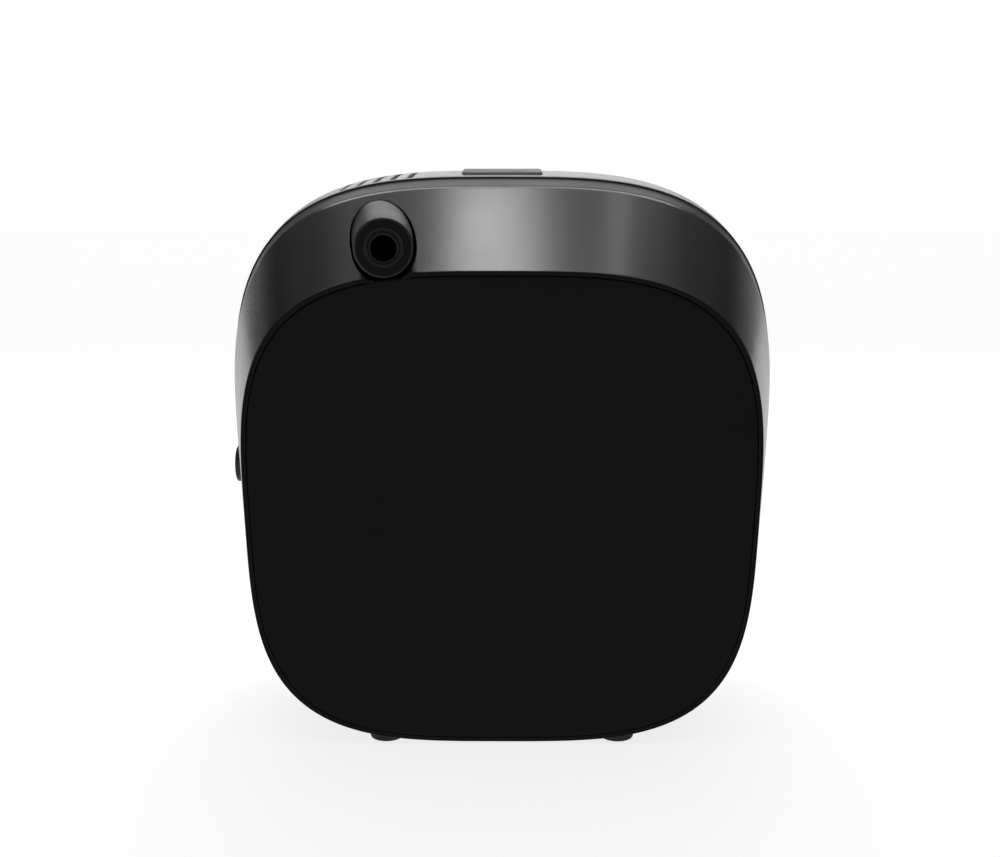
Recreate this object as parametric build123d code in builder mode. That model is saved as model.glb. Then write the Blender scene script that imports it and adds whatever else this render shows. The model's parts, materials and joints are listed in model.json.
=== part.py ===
"""Compact twin-wheel tennis ball machine, as an assembly of separate pieces.

The machine is laid out along its own axis, which runs from the flat back plate (y = 0) to the
rounded front. Lengths along that axis are called y, heights square to it z, and widths x.
The axis stands TILT degrees nose-up in the part's frame, because the case rests on its tapered
underside. The three plane helpers below turn axis coordinates into the part's frame.
All sizes are in millimetres.
"""
from build123d import *
import os
from math import acos, cos, pi, radians, sin, tan

os.makedirs("parts", exist_ok=True)

# ---------------------------------------------------------------- driving dimensions
TILT = 11.5                 # nose-up angle of the machine's axis
BASE_Y = -92.1              # where the back plate's centre stands in the part's frame
BASE_Z = 127.6

REAR_HALF = 128.0           # half width of the case at the back plate
BAND_HALF = 149.2           # at the end of the flared rear housing
SEAM_HALF = 151.2           # at the seam between the two shells
BAND_DEPTH = 98.0
TRIM_END = 113.0
SEAM_END = 114.3
TRIM_STEP = 0.45            # the trim ring's front edge lies this far below the seam
SEAL_RISE = 0.2             # and the seal this far above it
SEAL_INNER = 5.5
DOME_DEPTH = 89.7
DOME_FACE = 0.99            # share of the dome's depth where its flat front face starts
WALL = 3.0
REAR_POWER = 3.46           # exponents of the rounded-square outlines
FRONT_POWER = 3.25
DOME_POWER = 3.0            # exponent of the dome's side profile
DOME_SECTIONS = 9
OUTLINE_POINTS = 48

PLATE_THICKNESS = 3.0
PLATE_HALF = 125.4
PLATE_RECESS_HALF = 125.8
LEDGE_HALF = 120.0
LEDGE_END = 5.5

BALL_RADIUS = 33.5
PIVOT_Y = 85.0              # tilt axis of the launch cradle
PIVOT_Z = -40.0
WHEEL_Y = 128.0
WHEEL_X = 74.5
WHEEL_RADIUS = 48.0
WHEEL_WIDTH = 44.0
WHEEL_TOP = PIVOT_Z + WHEEL_WIDTH / 2
WHEEL_BOTTOM = PIVOT_Z - WHEEL_WIDTH / 2
HUB_RADIUS = 36.0
CRADLE_TOP = -65.0
CRADLE_SHEET = 3.0
TROUGH_HALF = 39.0
TROUGH_BOTTOM = -78.5
ARM_X = 126.0
ARM_THICKNESS = 3.0

GEAR_MODULE = 1.0
PRESSURE_ANGLE = radians(20)
TOOTH_BACKLASH = 0.22
SECTOR_TEETH = 80
PINION_TEETH = 14
FEED_TEETH = 40
SECTOR_X = 119.5
SECTOR_WIDTH = 4.0

LANE_CENTRE_Z = 66.0        # height of a ball's centre on the feed lane
LANE_INNER = 36.5
LANE_SHEET = 2.5
LANE_REAR = 82.0
LANE_FRONT = 168.0
LANE_FLOOR_TOP = 32.5
LANE_WALL_TOP = 86.0
RAIL_X = 25.0
STAR_Y = 104.0
STAR_Z = 26.0
STAR_RADIUS = 21.5
FEED_MOTOR_Z = STAR_Z + (FEED_TEETH + PINION_TEETH) * GEAR_MODULE / 2

INLET_ANGLE = 30.0          # the inlet's axis rises this much from the machine's axis
INLET_BASE_Y = 150.0
LID_RADIUS = 37.6
INLET_HOLE_RADIUS = 38.2
INLET_THROAT_RADIUS = 35.0
LID_THICKNESS = 2.6
HINGE_Y = 179.6
HINGE_Z = 132.2
HINGE_SLOPE = -51.3         # slope of the dome beside the hinge
HINGE_BARREL = 3.0
HINGE_PIN = 1.2
LID_ARM_WIDTH = 24.0

OUTLET_WIDTH = 77.0
OUTLET_HEIGHT = 107.0
OUTLET_Z = -24.5

PORT_X = -54.8
PORT_Y = 2.0
PORT_Z = 138.2
PORT_TILT = 7.0             # the socket barrel looks up a little from the back, and inwards
PORT_YAW = 5.7
PORT_RECESS_RADIUS = 16.2
PORT_BARREL_RADIUS = 14.0
SOCKET_DEPTH = 20.0
PORT_LENGTH = 90.0

BUTTON_Y = 126.5
BUTTON_WIDTH = 43.0
BUTTON_LENGTH = 12.5
SIDE_BUTTON_Y = 78.0
SIDE_BUTTON_RADIUS = 10.0
FAN_X = -66.0
FAN_Y = 138.0
FAN_BOTTOM = 104.0
FAN_THICKNESS = 12.0
FAN_SIZE = 50.0

BOSS_OFFSET = 109.0         # shell screws stand in the four rounded corners
TRIPOD_Y = 62.0
FOOT_X = 62.0
FOOT_DEPTHS = (14.0, 124.0)


# ---------------------------------------------------------------- frame helpers
def point(x, y, z):
    """A point given along the machine's axis, in the part's frame."""
    rise = radians(TILT)
    return (x, BASE_Y + y * cos(rise) - z * sin(rise), BASE_Z + y * sin(rise) + z * cos(rise))


def direction(y, z):
    """A direction in the machine's upright middle plane, in the part's frame."""
    rise = radians(TILT)
    return (0, y * cos(rise) - z * sin(rise), y * sin(rise) + z * cos(rise))


def deck(z):
    """Plane square to z: sketch x is x, sketch y is y, and it faces up."""
    return Plane(origin=point(0, 0, z), x_dir=(1, 0, 0), z_dir=direction(0, 1))


def back(y):
    """Plane square to the axis: sketch x is x, sketch y is z, and it faces the rear."""
    return Plane(origin=point(0, y, 0), x_dir=(1, 0, 0), z_dir=direction(-1, 0))


def flank(x, y=0, z=0):
    """Plane square to x: sketch x is y, sketch y is z, and it faces +x."""
    return Plane(origin=point(x, y, z), x_dir=direction(1, 0), z_dir=(1, 0, 0))


def tilted(x, y, z, angle):
    """Plane at a point, square to a line that rises by angle towards the front."""
    rise = radians(angle)
    return Plane(origin=point(x, y, z), x_dir=(1, 0, 0), z_dir=direction(cos(rise), sin(rise)))


def socket_section(offset=0):
    """Plane square to the charging socket's axis, facing into the case."""
    _, along_y, along_z = direction(cos(radians(PORT_TILT)), -sin(radians(PORT_TILT)))
    yaw = radians(PORT_YAW)
    axis = Vector(-sin(yaw), cos(yaw) * along_y, cos(yaw) * along_z)
    return Plane(origin=point(PORT_X, PORT_Y, PORT_Z), z_dir=axis).offset(offset)


def hinge_section(x):
    """Plane square to the lid's hinge: sketch x follows the dome's slope, sketch y leaves it."""
    slope = radians(HINGE_SLOPE)
    return Plane(origin=point(x, HINGE_Y, HINGE_Z), x_dir=direction(cos(slope), sin(slope)), z_dir=(1, 0, 0))


# ---------------------------------------------------------------- profile helpers
def rounded_square(plane, half, power):
    """Sketch of the outline |x|^power + |z|^power = half^power."""
    corners = []
    for step in range(OUTLINE_POINTS):
        turn = 2 * pi * step / OUTLINE_POINTS
        reach = half / (abs(cos(turn)) ** power + abs(sin(turn)) ** power) ** (1 / power)
        corners.append((reach * cos(turn), reach * sin(turn)))
    with BuildSketch(plane) as outline:
        with BuildLine():
            Spline(corners, periodic=True)
        make_face()
    return outline.sketch


def outline_power(y):
    """The outline grows squarer towards the back plate."""
    return REAR_POWER + (FRONT_POWER - REAR_POWER) * min(y, BAND_DEPTH) / BAND_DEPTH


def band_half(y):
    """Half width of the flared rear housing."""
    return REAR_HALF + (BAND_HALF - REAR_HALF) * y / BAND_DEPTH


def trim_half(y):
    """Half width over the trim ring, from the housing's end to the seam."""
    return BAND_HALF + (SEAM_HALF - TRIM_STEP - BAND_HALF) * (y - BAND_DEPTH) / (TRIM_END - BAND_DEPTH)


def square_ring(y_start, y_end, half_start, half_end, mode=Mode.ADD):
    """Straight loft between two rounded squares."""
    start = rounded_square(back(y_start), half_start, outline_power(y_start))
    end = rounded_square(back(y_end), half_end, outline_power(y_end))
    loft([start, end], ruled=True, mode=mode)


def square_slab(y_start, y_end, half, mode=Mode.ADD):
    """Straight prism with a rounded-square outline."""
    extrude(rounded_square(back(y_start), half, outline_power(max(y_start, 0))), y_start - y_end, mode=mode)


def dome_body(half, depth):
    """Solid dome from the seam to its flat front face."""
    sections = []
    for step in range(DOME_SECTIONS):
        share = DOME_FACE * sin(pi / 2 * step / (DOME_SECTIONS - 1))
        scale = (1 - share ** DOME_POWER) ** (1 / DOME_POWER)
        sections.append(rounded_square(back(SEAM_END + share * depth), half * scale, FRONT_POWER))
    loft(sections)


def tooth_angle(teeth, radius):
    """Half angle of a tooth at a radius, from the involute."""
    pitch = teeth * GEAR_MODULE / 2
    base = pitch * cos(PRESSURE_ANGLE)
    at_pitch = tan(PRESSURE_ANGLE) - PRESSURE_ANGLE
    lean = acos(min(1.0, base / radius))
    at_radius = tan(lean) - lean
    return (pi * GEAR_MODULE / 2 - TOOTH_BACKLASH) / (2 * pitch) + at_pitch - at_radius


def tooth_points(teeth, centre_angle):
    """Outline of one involute tooth, from root to root."""
    pitch = teeth * GEAR_MODULE / 2
    base = pitch * cos(PRESSURE_ANGLE)
    root = pitch - 1.15 * GEAR_MODULE
    tip = pitch + 0.85 * GEAR_MODULE
    start = max(root, base)
    flank_points = [(root, tooth_angle(teeth, start))] if base > root else []
    for step in range(4):
        radius = start + (tip - start) * step / 3
        flank_points.append((radius, tooth_angle(teeth, radius)))
    outline = [(radius, centre_angle - half) for radius, half in flank_points]
    outline += [(radius, centre_angle + half) for radius, half in reversed(flank_points)]
    return [(radius * cos(turn), radius * sin(turn)) for radius, turn in outline]


def gear_outline(teeth, first_angle):
    """Closed outline of a spur gear, with a tooth centred on first_angle."""
    outline = []
    for tooth in range(teeth):
        outline += tooth_points(teeth, first_angle + 2 * pi * tooth / teeth)
    return outline


def toothed_disc(x, y, z, width, teeth, first_angle):
    """Spur gear blank with its axis along x."""
    with BuildSketch(flank(x, y, z)) as blank:
        with BuildLine():
            Polyline(gear_outline(teeth, first_angle), close=True)
        make_face()
    extrude(blank.sketch, amount=width)


def rod(x, y, z, radius, length, mode=Mode.ADD):
    """Cylinder along x."""
    with BuildSketch(flank(x)) as section:
        with Locations((y, z)):
            Circle(radius)
    extrude(section.sketch, amount=length, mode=mode)


def post(x, y, z, radius, height, mode=Mode.ADD):
    """Cylinder square to the axis, rising from height z."""
    with BuildSketch(deck(z)) as section:
        with Locations((x, y)):
            Circle(radius)
    extrude(section.sketch, amount=height, mode=mode)


def stud(x, y, z, radius, length, mode=Mode.ADD):
    """Cylinder along the machine's axis, towards the front."""
    with BuildSketch(back(y)) as section:
        with Locations((x, z)):
            Circle(radius)
    extrude(section.sketch, amount=-length, mode=mode)


def block(x_span, y_span, z_span, mode=Mode.ADD):
    """Rectangular block between two limits each way."""
    with BuildSketch(deck(z_span[0])) as section:
        with Locations(((x_span[0] + x_span[1]) / 2, (y_span[0] + y_span[1]) / 2)):
            Rectangle(x_span[1] - x_span[0], y_span[1] - y_span[0])
    extrude(section.sketch, amount=z_span[1] - z_span[0], mode=mode)


def corners_of(x_pair, y_pair):
    """The four corner points of a rectangle."""
    return [(x, y) for x in x_pair for y in y_pair]


# ---------------------------------------------------------------- outer forms, used to trim pieces
with BuildPart() as band_form:
    square_ring(0, BAND_DEPTH, REAR_HALF, BAND_HALF)

with BuildPart() as dome_form:
    dome_body(SEAM_HALF + 0.3, DOME_DEPTH)

with BuildPart() as dome_hollow:
    dome_body(SEAM_HALF + 0.3 - WALL, DOME_DEPTH - WALL)


# ---------------------------------------------------------------- back plate
HOOKS = ((0, 1), (0, -1), (1, 0), (-1, 0))
HOOK_REACH = 119.6
HOOK_WIDTH = 12.0

with BuildPart() as back_plate:
    square_slab(0, PLATE_THICKNESS, PLATE_HALF)
    chamfer(back_plate.edges().group_by(Axis(point(0, 0, 0), direction(1, 0)))[0], length=0.4)
    for side_x, side_z in HOOKS:
        reach = HOOK_REACH - 1.25
        with BuildSketch(back(PLATE_THICKNESS)):
            with Locations((side_x * reach, side_z * reach)):
                Rectangle(2.5 + abs(side_z) * (HOOK_WIDTH - 2.5), 2.5 + abs(side_x) * (HOOK_WIDTH - 2.5))
        extrude(amount=-5.5)
        barb = HOOK_REACH - 0.9
        with BuildSketch(back(LEDGE_END + 0.3)):
            with Locations((side_x * barb, side_z * barb)):
                Rectangle(5.2 + abs(side_z) * (HOOK_WIDTH - 5.2), 5.2 + abs(side_x) * (HOOK_WIDTH - 5.2))
        extrude(amount=-2.2)
    for board_x, board_z in corners_of((-112, -56), (-24, 34)):
        stud(board_x, PLATE_THICKNESS, board_z, 4.0, 7.0)
        stud(board_x, PLATE_THICKNESS + 1.0, board_z, 1.3, 6.5, mode=Mode.SUBTRACT)
back_plate.part.label = "back_plate"
export_step(back_plate.part, "parts/back_plate.step")


# ---------------------------------------------------------------- rear housing
SLEEVE_START = BAND_HALF - 2.0      # half width of the spigot under the trim ring
SLEEVE_END = SEAM_HALF - 2.0
TRAY_TOP = -114.0
TRAY_POSTS = corners_of((-66, 66), (28, 92))
BEARING_SPAN = 15.0
BEARING_X = 130.0
BEARING_END = 136.0
TILT_PAD_X = 125.0

with BuildPart() as housing_bosses:
    # corner bosses for the long shell screws, each with a rib to the wall
    for side_x, side_z in corners_of((-1, 1), (-1, 1)):
        stud(side_x * BOSS_OFFSET, 88, side_z * BOSS_OFFSET, 6.0, 8.0)
        with BuildSketch(back(88)):
            with Locations(Location((side_x * 113.5, side_z * 113.5), 45 * side_x * side_z)):
                Rectangle(13, 4)
        extrude(amount=-8)
    # pads that carry the cradle bearings
    for side in (-1, 1):
        block(sorted((side * BEARING_END, side * 150)), (70, 100), (PIVOT_Z - BEARING_SPAN, PIVOT_Z + BEARING_SPAN))
    # pads for the lane brackets and the tilt motor's posts
    for side in (-1, 1):
        block(sorted((side * 131, side * 146)), (76, 90), (72, 84))
    block((TILT_PAD_X, 140), (17, 27), (-62, -18))
    # posts under the tray
    for tray_x, tray_y in TRAY_POSTS:
        post(tray_x, tray_y, -146, 5.0, 30.0)
    # tube round the recess of the charging socket
    with BuildSketch(socket_section(-10)):
        Circle(PORT_RECESS_RADIUS + 2.5)
    extrude(amount=PORT_LENGTH + 12.5)
    add(band_form.part, mode=Mode.INTERSECT)

with BuildPart() as rear_housing:
    square_ring(0, BAND_DEPTH, REAR_HALF, BAND_HALF)
    square_ring(BAND_DEPTH - 8, TRIM_END - 1, SLEEVE_START - 1, SLEEVE_END)
    square_ring(LEDGE_END, BAND_DEPTH, band_half(LEDGE_END) - WALL, SLEEVE_START - 2.4, mode=Mode.SUBTRACT)
    square_ring(BAND_DEPTH, TRIM_END, SLEEVE_START - 2.4, SLEEVE_END - 2.4, mode=Mode.SUBTRACT)
    square_slab(-1, LEDGE_END + 0.5, LEDGE_HALF, mode=Mode.SUBTRACT)
    add(housing_bosses.part)
    square_slab(-1, PLATE_THICKNESS + 0.2, PLATE_RECESS_HALF, mode=Mode.SUBTRACT)
    # recess of the charging socket, open to the rear
    with BuildSketch(socket_section(-12)):
        Circle(PORT_RECESS_RADIUS)
    extrude(amount=PORT_LENGTH + 12, mode=Mode.SUBTRACT)
    # screw holes
    for side_x, side_z in corners_of((-1, 1), (-1, 1)):
        stud(side_x * BOSS_OFFSET, 87, side_z * BOSS_OFFSET, 2.2, 12.0, mode=Mode.SUBTRACT)
    for tray_x, tray_y in TRAY_POSTS:
        post(tray_x, tray_y, -128, 1.5, 13.0, mode=Mode.SUBTRACT)
    # side button and its light
    with BuildSketch(flank(-160)):
        with Locations((SIDE_BUTTON_Y, 0)):
            Circle(SIDE_BUTTON_RADIUS + 0.4)
    extrude(amount=25, mode=Mode.SUBTRACT)
    rod(-160, 62, -6, 1.6, 25, mode=Mode.SUBTRACT)
    # holes for the feet near the back plate, and the tripod insert's seat
    for side in (-1, 1):
        with BuildSketch(Plane.XY):
            with Locations((side * FOOT_X, point(0, FOOT_DEPTHS[0], -128)[1])):
                Circle(3.05)
        extrude(amount=16, mode=Mode.SUBTRACT)
    with BuildSketch(Plane.XY.offset(4)):
        with Locations((0, point(0, TRIPOD_Y, -140)[1])):
            Circle(9)
    extrude(amount=14)
    with BuildSketch(Plane.XY):
        with Locations((0, point(0, TRIPOD_Y, -140)[1])):
            Circle(5.0)
    extrude(amount=15, mode=Mode.SUBTRACT)
rear_housing.part.label = "rear_housing"
export_step(rear_housing.part, "parts/rear_housing.step")


# ---------------------------------------------------------------- trim ring and seal
with BuildPart() as trim_ring:
    square_ring(BAND_DEPTH + 0.5, TRIM_END, trim_half(BAND_DEPTH + 0.5), trim_half(TRIM_END))
    square_ring(BAND_DEPTH, TRIM_END, SLEEVE_START + 0.15, SLEEVE_END + 0.15, mode=Mode.SUBTRACT)
trim_ring.part.label = "trim_ring"
export_step(trim_ring.part, "parts/trim_ring.step")

with BuildPart() as seam_seal:
    square_slab(TRIM_END, SEAM_END, SEAM_HALF + SEAL_RISE)
    square_slab(TRIM_END - 1, SEAM_END + 1, SEAM_HALF - SEAL_INNER, mode=Mode.SUBTRACT)
seam_seal.part.label = "seam_seal"
export_step(seam_seal.part, "parts/seam_seal.step")


# ---------------------------------------------------------------- charging socket
socket_plane = socket_section()

with BuildPart() as socket_barrel:
    with BuildSketch(socket_plane):
        Circle(PORT_BARREL_RADIUS)
    with BuildSketch(socket_plane.offset(PORT_LENGTH)):
        Circle(PORT_RECESS_RADIUS - 0.1)
    loft()
    fillet(socket_barrel.edges().group_by(Axis(socket_plane.origin, socket_plane.z_dir))[0], radius=1.2)
    with BuildSketch(socket_plane):
        Circle(8.6)
    extrude(amount=24, mode=Mode.SUBTRACT)
socket_barrel.part.label = "socket_barrel"
export_step(socket_barrel.part, "parts/socket_barrel.step")

with BuildPart() as socket_sleeve:
    with BuildSketch(socket_plane):
        Circle(8.5)
    extrude(amount=23)
    with BuildSketch(socket_plane):
        Circle(6.2)
    extrude(amount=SOCKET_DEPTH, mode=Mode.SUBTRACT)
    with BuildSketch(socket_plane):
        Circle(1.3)
    extrude(amount=23, mode=Mode.SUBTRACT)
    chamfer(socket_sleeve.edges().group_by(Axis(socket_plane.origin, socket_plane.z_dir))[0], length=0.4)
socket_sleeve.part.label = "socket_sleeve"
export_step(socket_sleeve.part, "parts/socket_sleeve.step")

with BuildPart() as socket_pin:
    with BuildSketch(socket_plane.offset(SOCKET_DEPTH + 0.3)):
        Circle(1.25)
    extrude(amount=2.7)
    fillet(socket_pin.edges().group_by(Axis(socket_plane.origin, socket_plane.z_dir))[0], radius=0.5)
socket_pin.part.label = "socket_pin"
export_step(socket_pin.part, "parts/socket_pin.step")


# ---------------------------------------------------------------- front dome
inlet_rise = radians(INLET_ANGLE)
inlet_plane = tilted(0, INLET_BASE_Y, LANE_CENTRE_Z, INLET_ANGLE)
VENT_COUNT = 5
VENT_PITCH = 8.9
VENT_FIRST_X = -49.0

with BuildPart() as dome_bosses:
    for side_x, side_z in corners_of((-1, 1), (-1, 1)):
        stud(side_x * BOSS_OFFSET, SEAM_END, side_z * BOSS_OFFSET, 6.0, 20.0)
        with BuildSketch(back(SEAM_END)):
            with Locations(Location((side_x * 116, side_z * 116), 45 * side_x * side_z)):
                Rectangle(20, 4)
        extrude(amount=-20)
    # fan posts
    for fan_post_x in (FAN_X - 31, FAN_X + 31):
        post(fan_post_x, FAN_Y, FAN_BOTTOM + 6, 4.0, 50.0)
    # posts for the top button's switch plate
    for side in (-1, 1):
        post(side * 28, BUTTON_Y, 137.5, 3.0, 15.0)
    add(dome_form.part, mode=Mode.INTERSECT)

with BuildPart() as front_dome:
    add(dome_form.part)
    add(dome_hollow.part, mode=Mode.SUBTRACT)
    add(dome_bosses.part)
    # ball outlet
    with BuildSketch(back(150)):
        with Locations(Location((0, OUTLET_Z), 90)):
            SlotOverall(OUTLET_HEIGHT, OUTLET_WIDTH)
    extrude(amount=-60, mode=Mode.SUBTRACT)
    # ball inlet
    with BuildSketch(inlet_plane):
        Circle(INLET_HOLE_RADIUS)
    extrude(amount=90, mode=Mode.SUBTRACT)
    # hinge knuckles, with a relief for the lid's own knuckle
    for start in (-24.0, 15.0):
        rod(start, HINGE_Y, HINGE_Z, HINGE_BARREL, 9.0)
    rod(-15.0, HINGE_Y, HINGE_Z, HINGE_BARREL + 0.6, 30.0, mode=Mode.SUBTRACT)
    rod(-30.0, HINGE_Y, HINGE_Z, HINGE_PIN, 60.0, mode=Mode.SUBTRACT)
    # notch in the hole's rim for the lid's arm
    with BuildSketch(hinge_section(-LID_ARM_WIDTH / 2 - 0.4)):
        with Locations((5, 0.6)):
            Rectangle(10, 6)
        with Locations((7.2, -0.6)):
            Rectangle(5.6, 8.4)
    extrude(amount=LID_ARM_WIDTH + 0.8, mode=Mode.SUBTRACT)
    # vents over the fan
    for vent in range(VENT_COUNT):
        with BuildSketch(deck(120)):
            with Locations(Location((VENT_FIRST_X - vent * VENT_PITCH, 130), 84 - 2 * vent)):
                SlotOverall(25, 3.3)
        extrude(amount=40, mode=Mode.SUBTRACT)
    # top button's window
    with BuildSketch(deck(130)):
        with Locations((0, BUTTON_Y)):
            RectangleRounded(BUTTON_WIDTH + 0.8, BUTTON_LENGTH + 0.8, 2.4)
    extrude(amount=30, mode=Mode.SUBTRACT)
    # screw holes
    for side_x, side_z in corners_of((-1, 1), (-1, 1)):
        stud(side_x * BOSS_OFFSET, 113, side_z * BOSS_OFFSET, 2.05, 18.0, mode=Mode.SUBTRACT)
    for fan_post_x in (FAN_X - 31, FAN_X + 31):
        post(fan_post_x, FAN_Y, FAN_BOTTOM, 1.55, 18.0, mode=Mode.SUBTRACT)
    for side in (-1, 1):
        post(side * 28, BUTTON_Y, 137, 1.3, 7.0, mode=Mode.SUBTRACT)
        with BuildSketch(Plane.XY):
            with Locations((side * FOOT_X, point(0, FOOT_DEPTHS[1], -147)[1])):
                Circle(3.05)
        extrude(amount=20, mode=Mode.SUBTRACT)
front_dome.part.label = "front_dome"
export_step(front_dome.part, "parts/front_dome.step")


# ---------------------------------------------------------------- ball inlet: collar, lid and hinge pin
with BuildPart() as inlet_collar:
    with BuildSketch(inlet_plane.offset(28)):
        Circle(INLET_HOLE_RADIUS + 3.5)
        Circle(INLET_THROAT_RADIUS, mode=Mode.SUBTRACT)
    extrude(amount=60)
    add(dome_hollow.part, mode=Mode.INTERSECT)
inlet_collar.part.label = "inlet_collar"
export_step(inlet_collar.part, "parts/inlet_collar.step")

with BuildPart() as lid_hollow:
    dome_body(SEAM_HALF + 0.3 - LID_THICKNESS, DOME_DEPTH - LID_THICKNESS)

with BuildPart() as inlet_lid:
    with BuildSketch(inlet_plane.offset(20)):
        Circle(LID_RADIUS)
    extrude(amount=70)
    add(dome_form.part, mode=Mode.INTERSECT)
    add(lid_hollow.part, mode=Mode.SUBTRACT)
    # knuckle, and the arm that carries it over the rim
    rod(-14.4, HINGE_Y, HINGE_Z, HINGE_BARREL, 28.8)
    with BuildSketch(hinge_section(-LID_ARM_WIDTH / 2)):
        with BuildLine():
            Polyline((0, 2.8), (5, 1.2), (12, -1.2), (12, -4.0), (5, -4.0), (5, -1.7), (0, -1.7), close=True)
        make_face()
    extrude(amount=LID_ARM_WIDTH)
    rod(-20.0, HINGE_Y, HINGE_Z, HINGE_PIN + 0.05, 40.0, mode=Mode.SUBTRACT)
    # finger notch at the lower edge
    with BuildSketch(inlet_plane.offset(20)):
        with Locations((0, -LID_RADIUS - 4)):
            Circle(8.5)
    extrude(amount=70, mode=Mode.SUBTRACT)
inlet_lid.part.label = "inlet_lid"
export_step(inlet_lid.part, "parts/inlet_lid.step")

with BuildPart() as lid_hinge_pin:
    rod(-24.0, HINGE_Y, HINGE_Z, HINGE_PIN, 48.0)
lid_hinge_pin.part.label = "lid_hinge_pin"
export_step(lid_hinge_pin.part, "parts/lid_hinge_pin.step")


# ---------------------------------------------------------------- ball outlet bezel
BEZEL_LIP = 2.0

with BuildPart() as outlet_bezel:
    with BuildSketch(back(188)):
        with Locations(Location((0, OUTLET_Z), 90)):
            SlotOverall(OUTLET_HEIGHT - 0.3, OUTLET_WIDTH - 0.3)
            SlotOverall(OUTLET_HEIGHT - 2 * BEZEL_LIP, OUTLET_WIDTH - 2 * BEZEL_LIP, mode=Mode.SUBTRACT)
    extrude(amount=-14)
    add(dome_form.part, mode=Mode.INTERSECT)
outlet_bezel.part.label = "outlet_bezel"
export_step(outlet_bezel.part, "parts/outlet_bezel.step")


# ---------------------------------------------------------------- buttons, switches and status light
with BuildPart() as top_button:
    with BuildSketch(deck(142)):
        with Locations((0, BUTTON_Y)):
            RectangleRounded(BUTTON_WIDTH, BUTTON_LENGTH, 2.0)
    extrude(amount=10.6)
    chamfer(top_button.edges().group_by(Axis(point(0, 0, 0), direction(0, 1)))[-1], length=0.6)
    with BuildSketch(deck(142)):
        with Locations((0, BUTTON_Y)):
            Rectangle(BUTTON_WIDTH + 5, BUTTON_LENGTH + 4)
    extrude(amount=1.6)
top_button.part.label = "top_button"
export_step(top_button.part, "parts/top_button.step")

with BuildPart() as button_plate:
    block((-31.5, 31.5), (BUTTON_Y - 7, BUTTON_Y + 7), (135.7, 137.5))
    for side in (-1, 1):
        post(side * 28, BUTTON_Y, 135, 1.6, 3.0, mode=Mode.SUBTRACT)
button_plate.part.label = "button_plate"
export_step(button_plate.part, "parts/button_plate.step")

with BuildPart() as top_switch:
    block((-3, 3), (BUTTON_Y - 3, BUTTON_Y + 3), (137.5, 139.6))
    post(0, BUTTON_Y, 139.6, 1.6, 0.5)
top_switch.part.label = "top_switch"
export_step(top_switch.part, "parts/top_switch.step")

with BuildPart() as side_button_form:
    square_ring(0, BAND_DEPTH, REAR_HALF + 2.0, BAND_HALF + 2.0)

with BuildPart() as side_button:
    rod(-152, SIDE_BUTTON_Y, 0, SIDE_BUTTON_RADIUS, 16.0)
    add(side_button_form.part, mode=Mode.INTERSECT)
    fillet(side_button.edges().sort_by(Axis.X)[0], radius=0.8)
    with BuildSketch(flank(-137.2)):
        with Locations((SIDE_BUTTON_Y, 0)):
            Circle(SIDE_BUTTON_RADIUS + 1.6)
    extrude(amount=1.4)
side_button.part.label = "side_button"
export_step(side_button.part, "parts/side_button.step")

with BuildPart() as side_switch:
    block((-132.6, -130.4), (SIDE_BUTTON_Y - 3, SIDE_BUTTON_Y + 3), (-3, 3))
    rod(-133.4, SIDE_BUTTON_Y, 0, 1.6, 0.9)
    block((-130.4, -128.8), (58, 94), (-11, 11))
side_switch.part.label = "side_switch"
export_step(side_switch.part, "parts/side_switch.step")

with BuildPart() as status_light:
    rod(-141.0, 62, -6, 1.5, 10.5)
status_light.part.label = "status_light"
export_step(status_light.part, "parts/status_light.step")


# ---------------------------------------------------------------- feet and tripod insert
with BuildPart() as rubber_feet:
    for depth, drop in zip(FOOT_DEPTHS, (-128, -147)):
        for side in (-1, 1):
            with BuildSketch(Plane.XY):
                with Locations((side * FOOT_X, point(0, depth, drop)[1])):
                    Circle(9)
            extrude(amount=18)
    fillet(rubber_feet.edges().group_by(Axis.Z)[0], radius=1.2)
    add(band_form.part, mode=Mode.SUBTRACT)
    add(dome_form.part, mode=Mode.SUBTRACT)
    for depth, drop in zip(FOOT_DEPTHS, (-128, -147)):
        for side in (-1, 1):
            for radius, start, height in ((3.0, 2.0, 12.0 + depth / 40), (4.4, 12.0 + depth / 40, 2.5)):
                with BuildSketch(Plane.XY.offset(start)):
                    with Locations((side * FOOT_X, point(0, depth, drop)[1])):
                        Circle(radius)
                extrude(amount=height)
rubber_feet.part.label = "rubber_feet"
export_step(rubber_feet.part, "parts/rubber_feet.step")

with BuildPart() as tripod_insert:
    with BuildSketch(Plane.XY.offset(2.6)):
        with Locations((0, point(0, TRIPOD_Y, -140)[1])):
            Circle(4.95)
            Circle(3.2, mode=Mode.SUBTRACT)
    extrude(amount=12)
tripod_insert.part.label = "tripod_insert"
export_step(tripod_insert.part, "parts/tripod_insert.step")


# ---------------------------------------------------------------- tray, battery and control board
with BuildPart() as equipment_tray:
    block((-76, 76), (17, 99), (TRAY_TOP - 2, TRAY_TOP))
    block((-76, -74), (17, 99), (TRAY_TOP, TRAY_TOP + 8))
    block((74, 76), (17, 99), (TRAY_TOP, TRAY_TOP + 8))
    for tray_x, tray_y in TRAY_POSTS:
        post(tray_x, tray_y, TRAY_TOP - 3, 1.7, 5.0, mode=Mode.SUBTRACT)
equipment_tray.part.label = "equipment_tray"
export_step(equipment_tray.part, "parts/equipment_tray.step")

BATTERY_X = (-58.0, 58.0)
BATTERY_Y = (20.0, 94.0)
BATTERY_TOP = -88.0

with BuildPart() as battery_pack:
    block(BATTERY_X, BATTERY_Y, (TRAY_TOP, BATTERY_TOP))
    fillet(battery_pack.edges().filter_by(Axis(point(0, 0, 0), direction(1, 0))), radius=6)
battery_pack.part.label = "battery_pack"
export_step(battery_pack.part, "parts/battery_pack.step")

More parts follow.
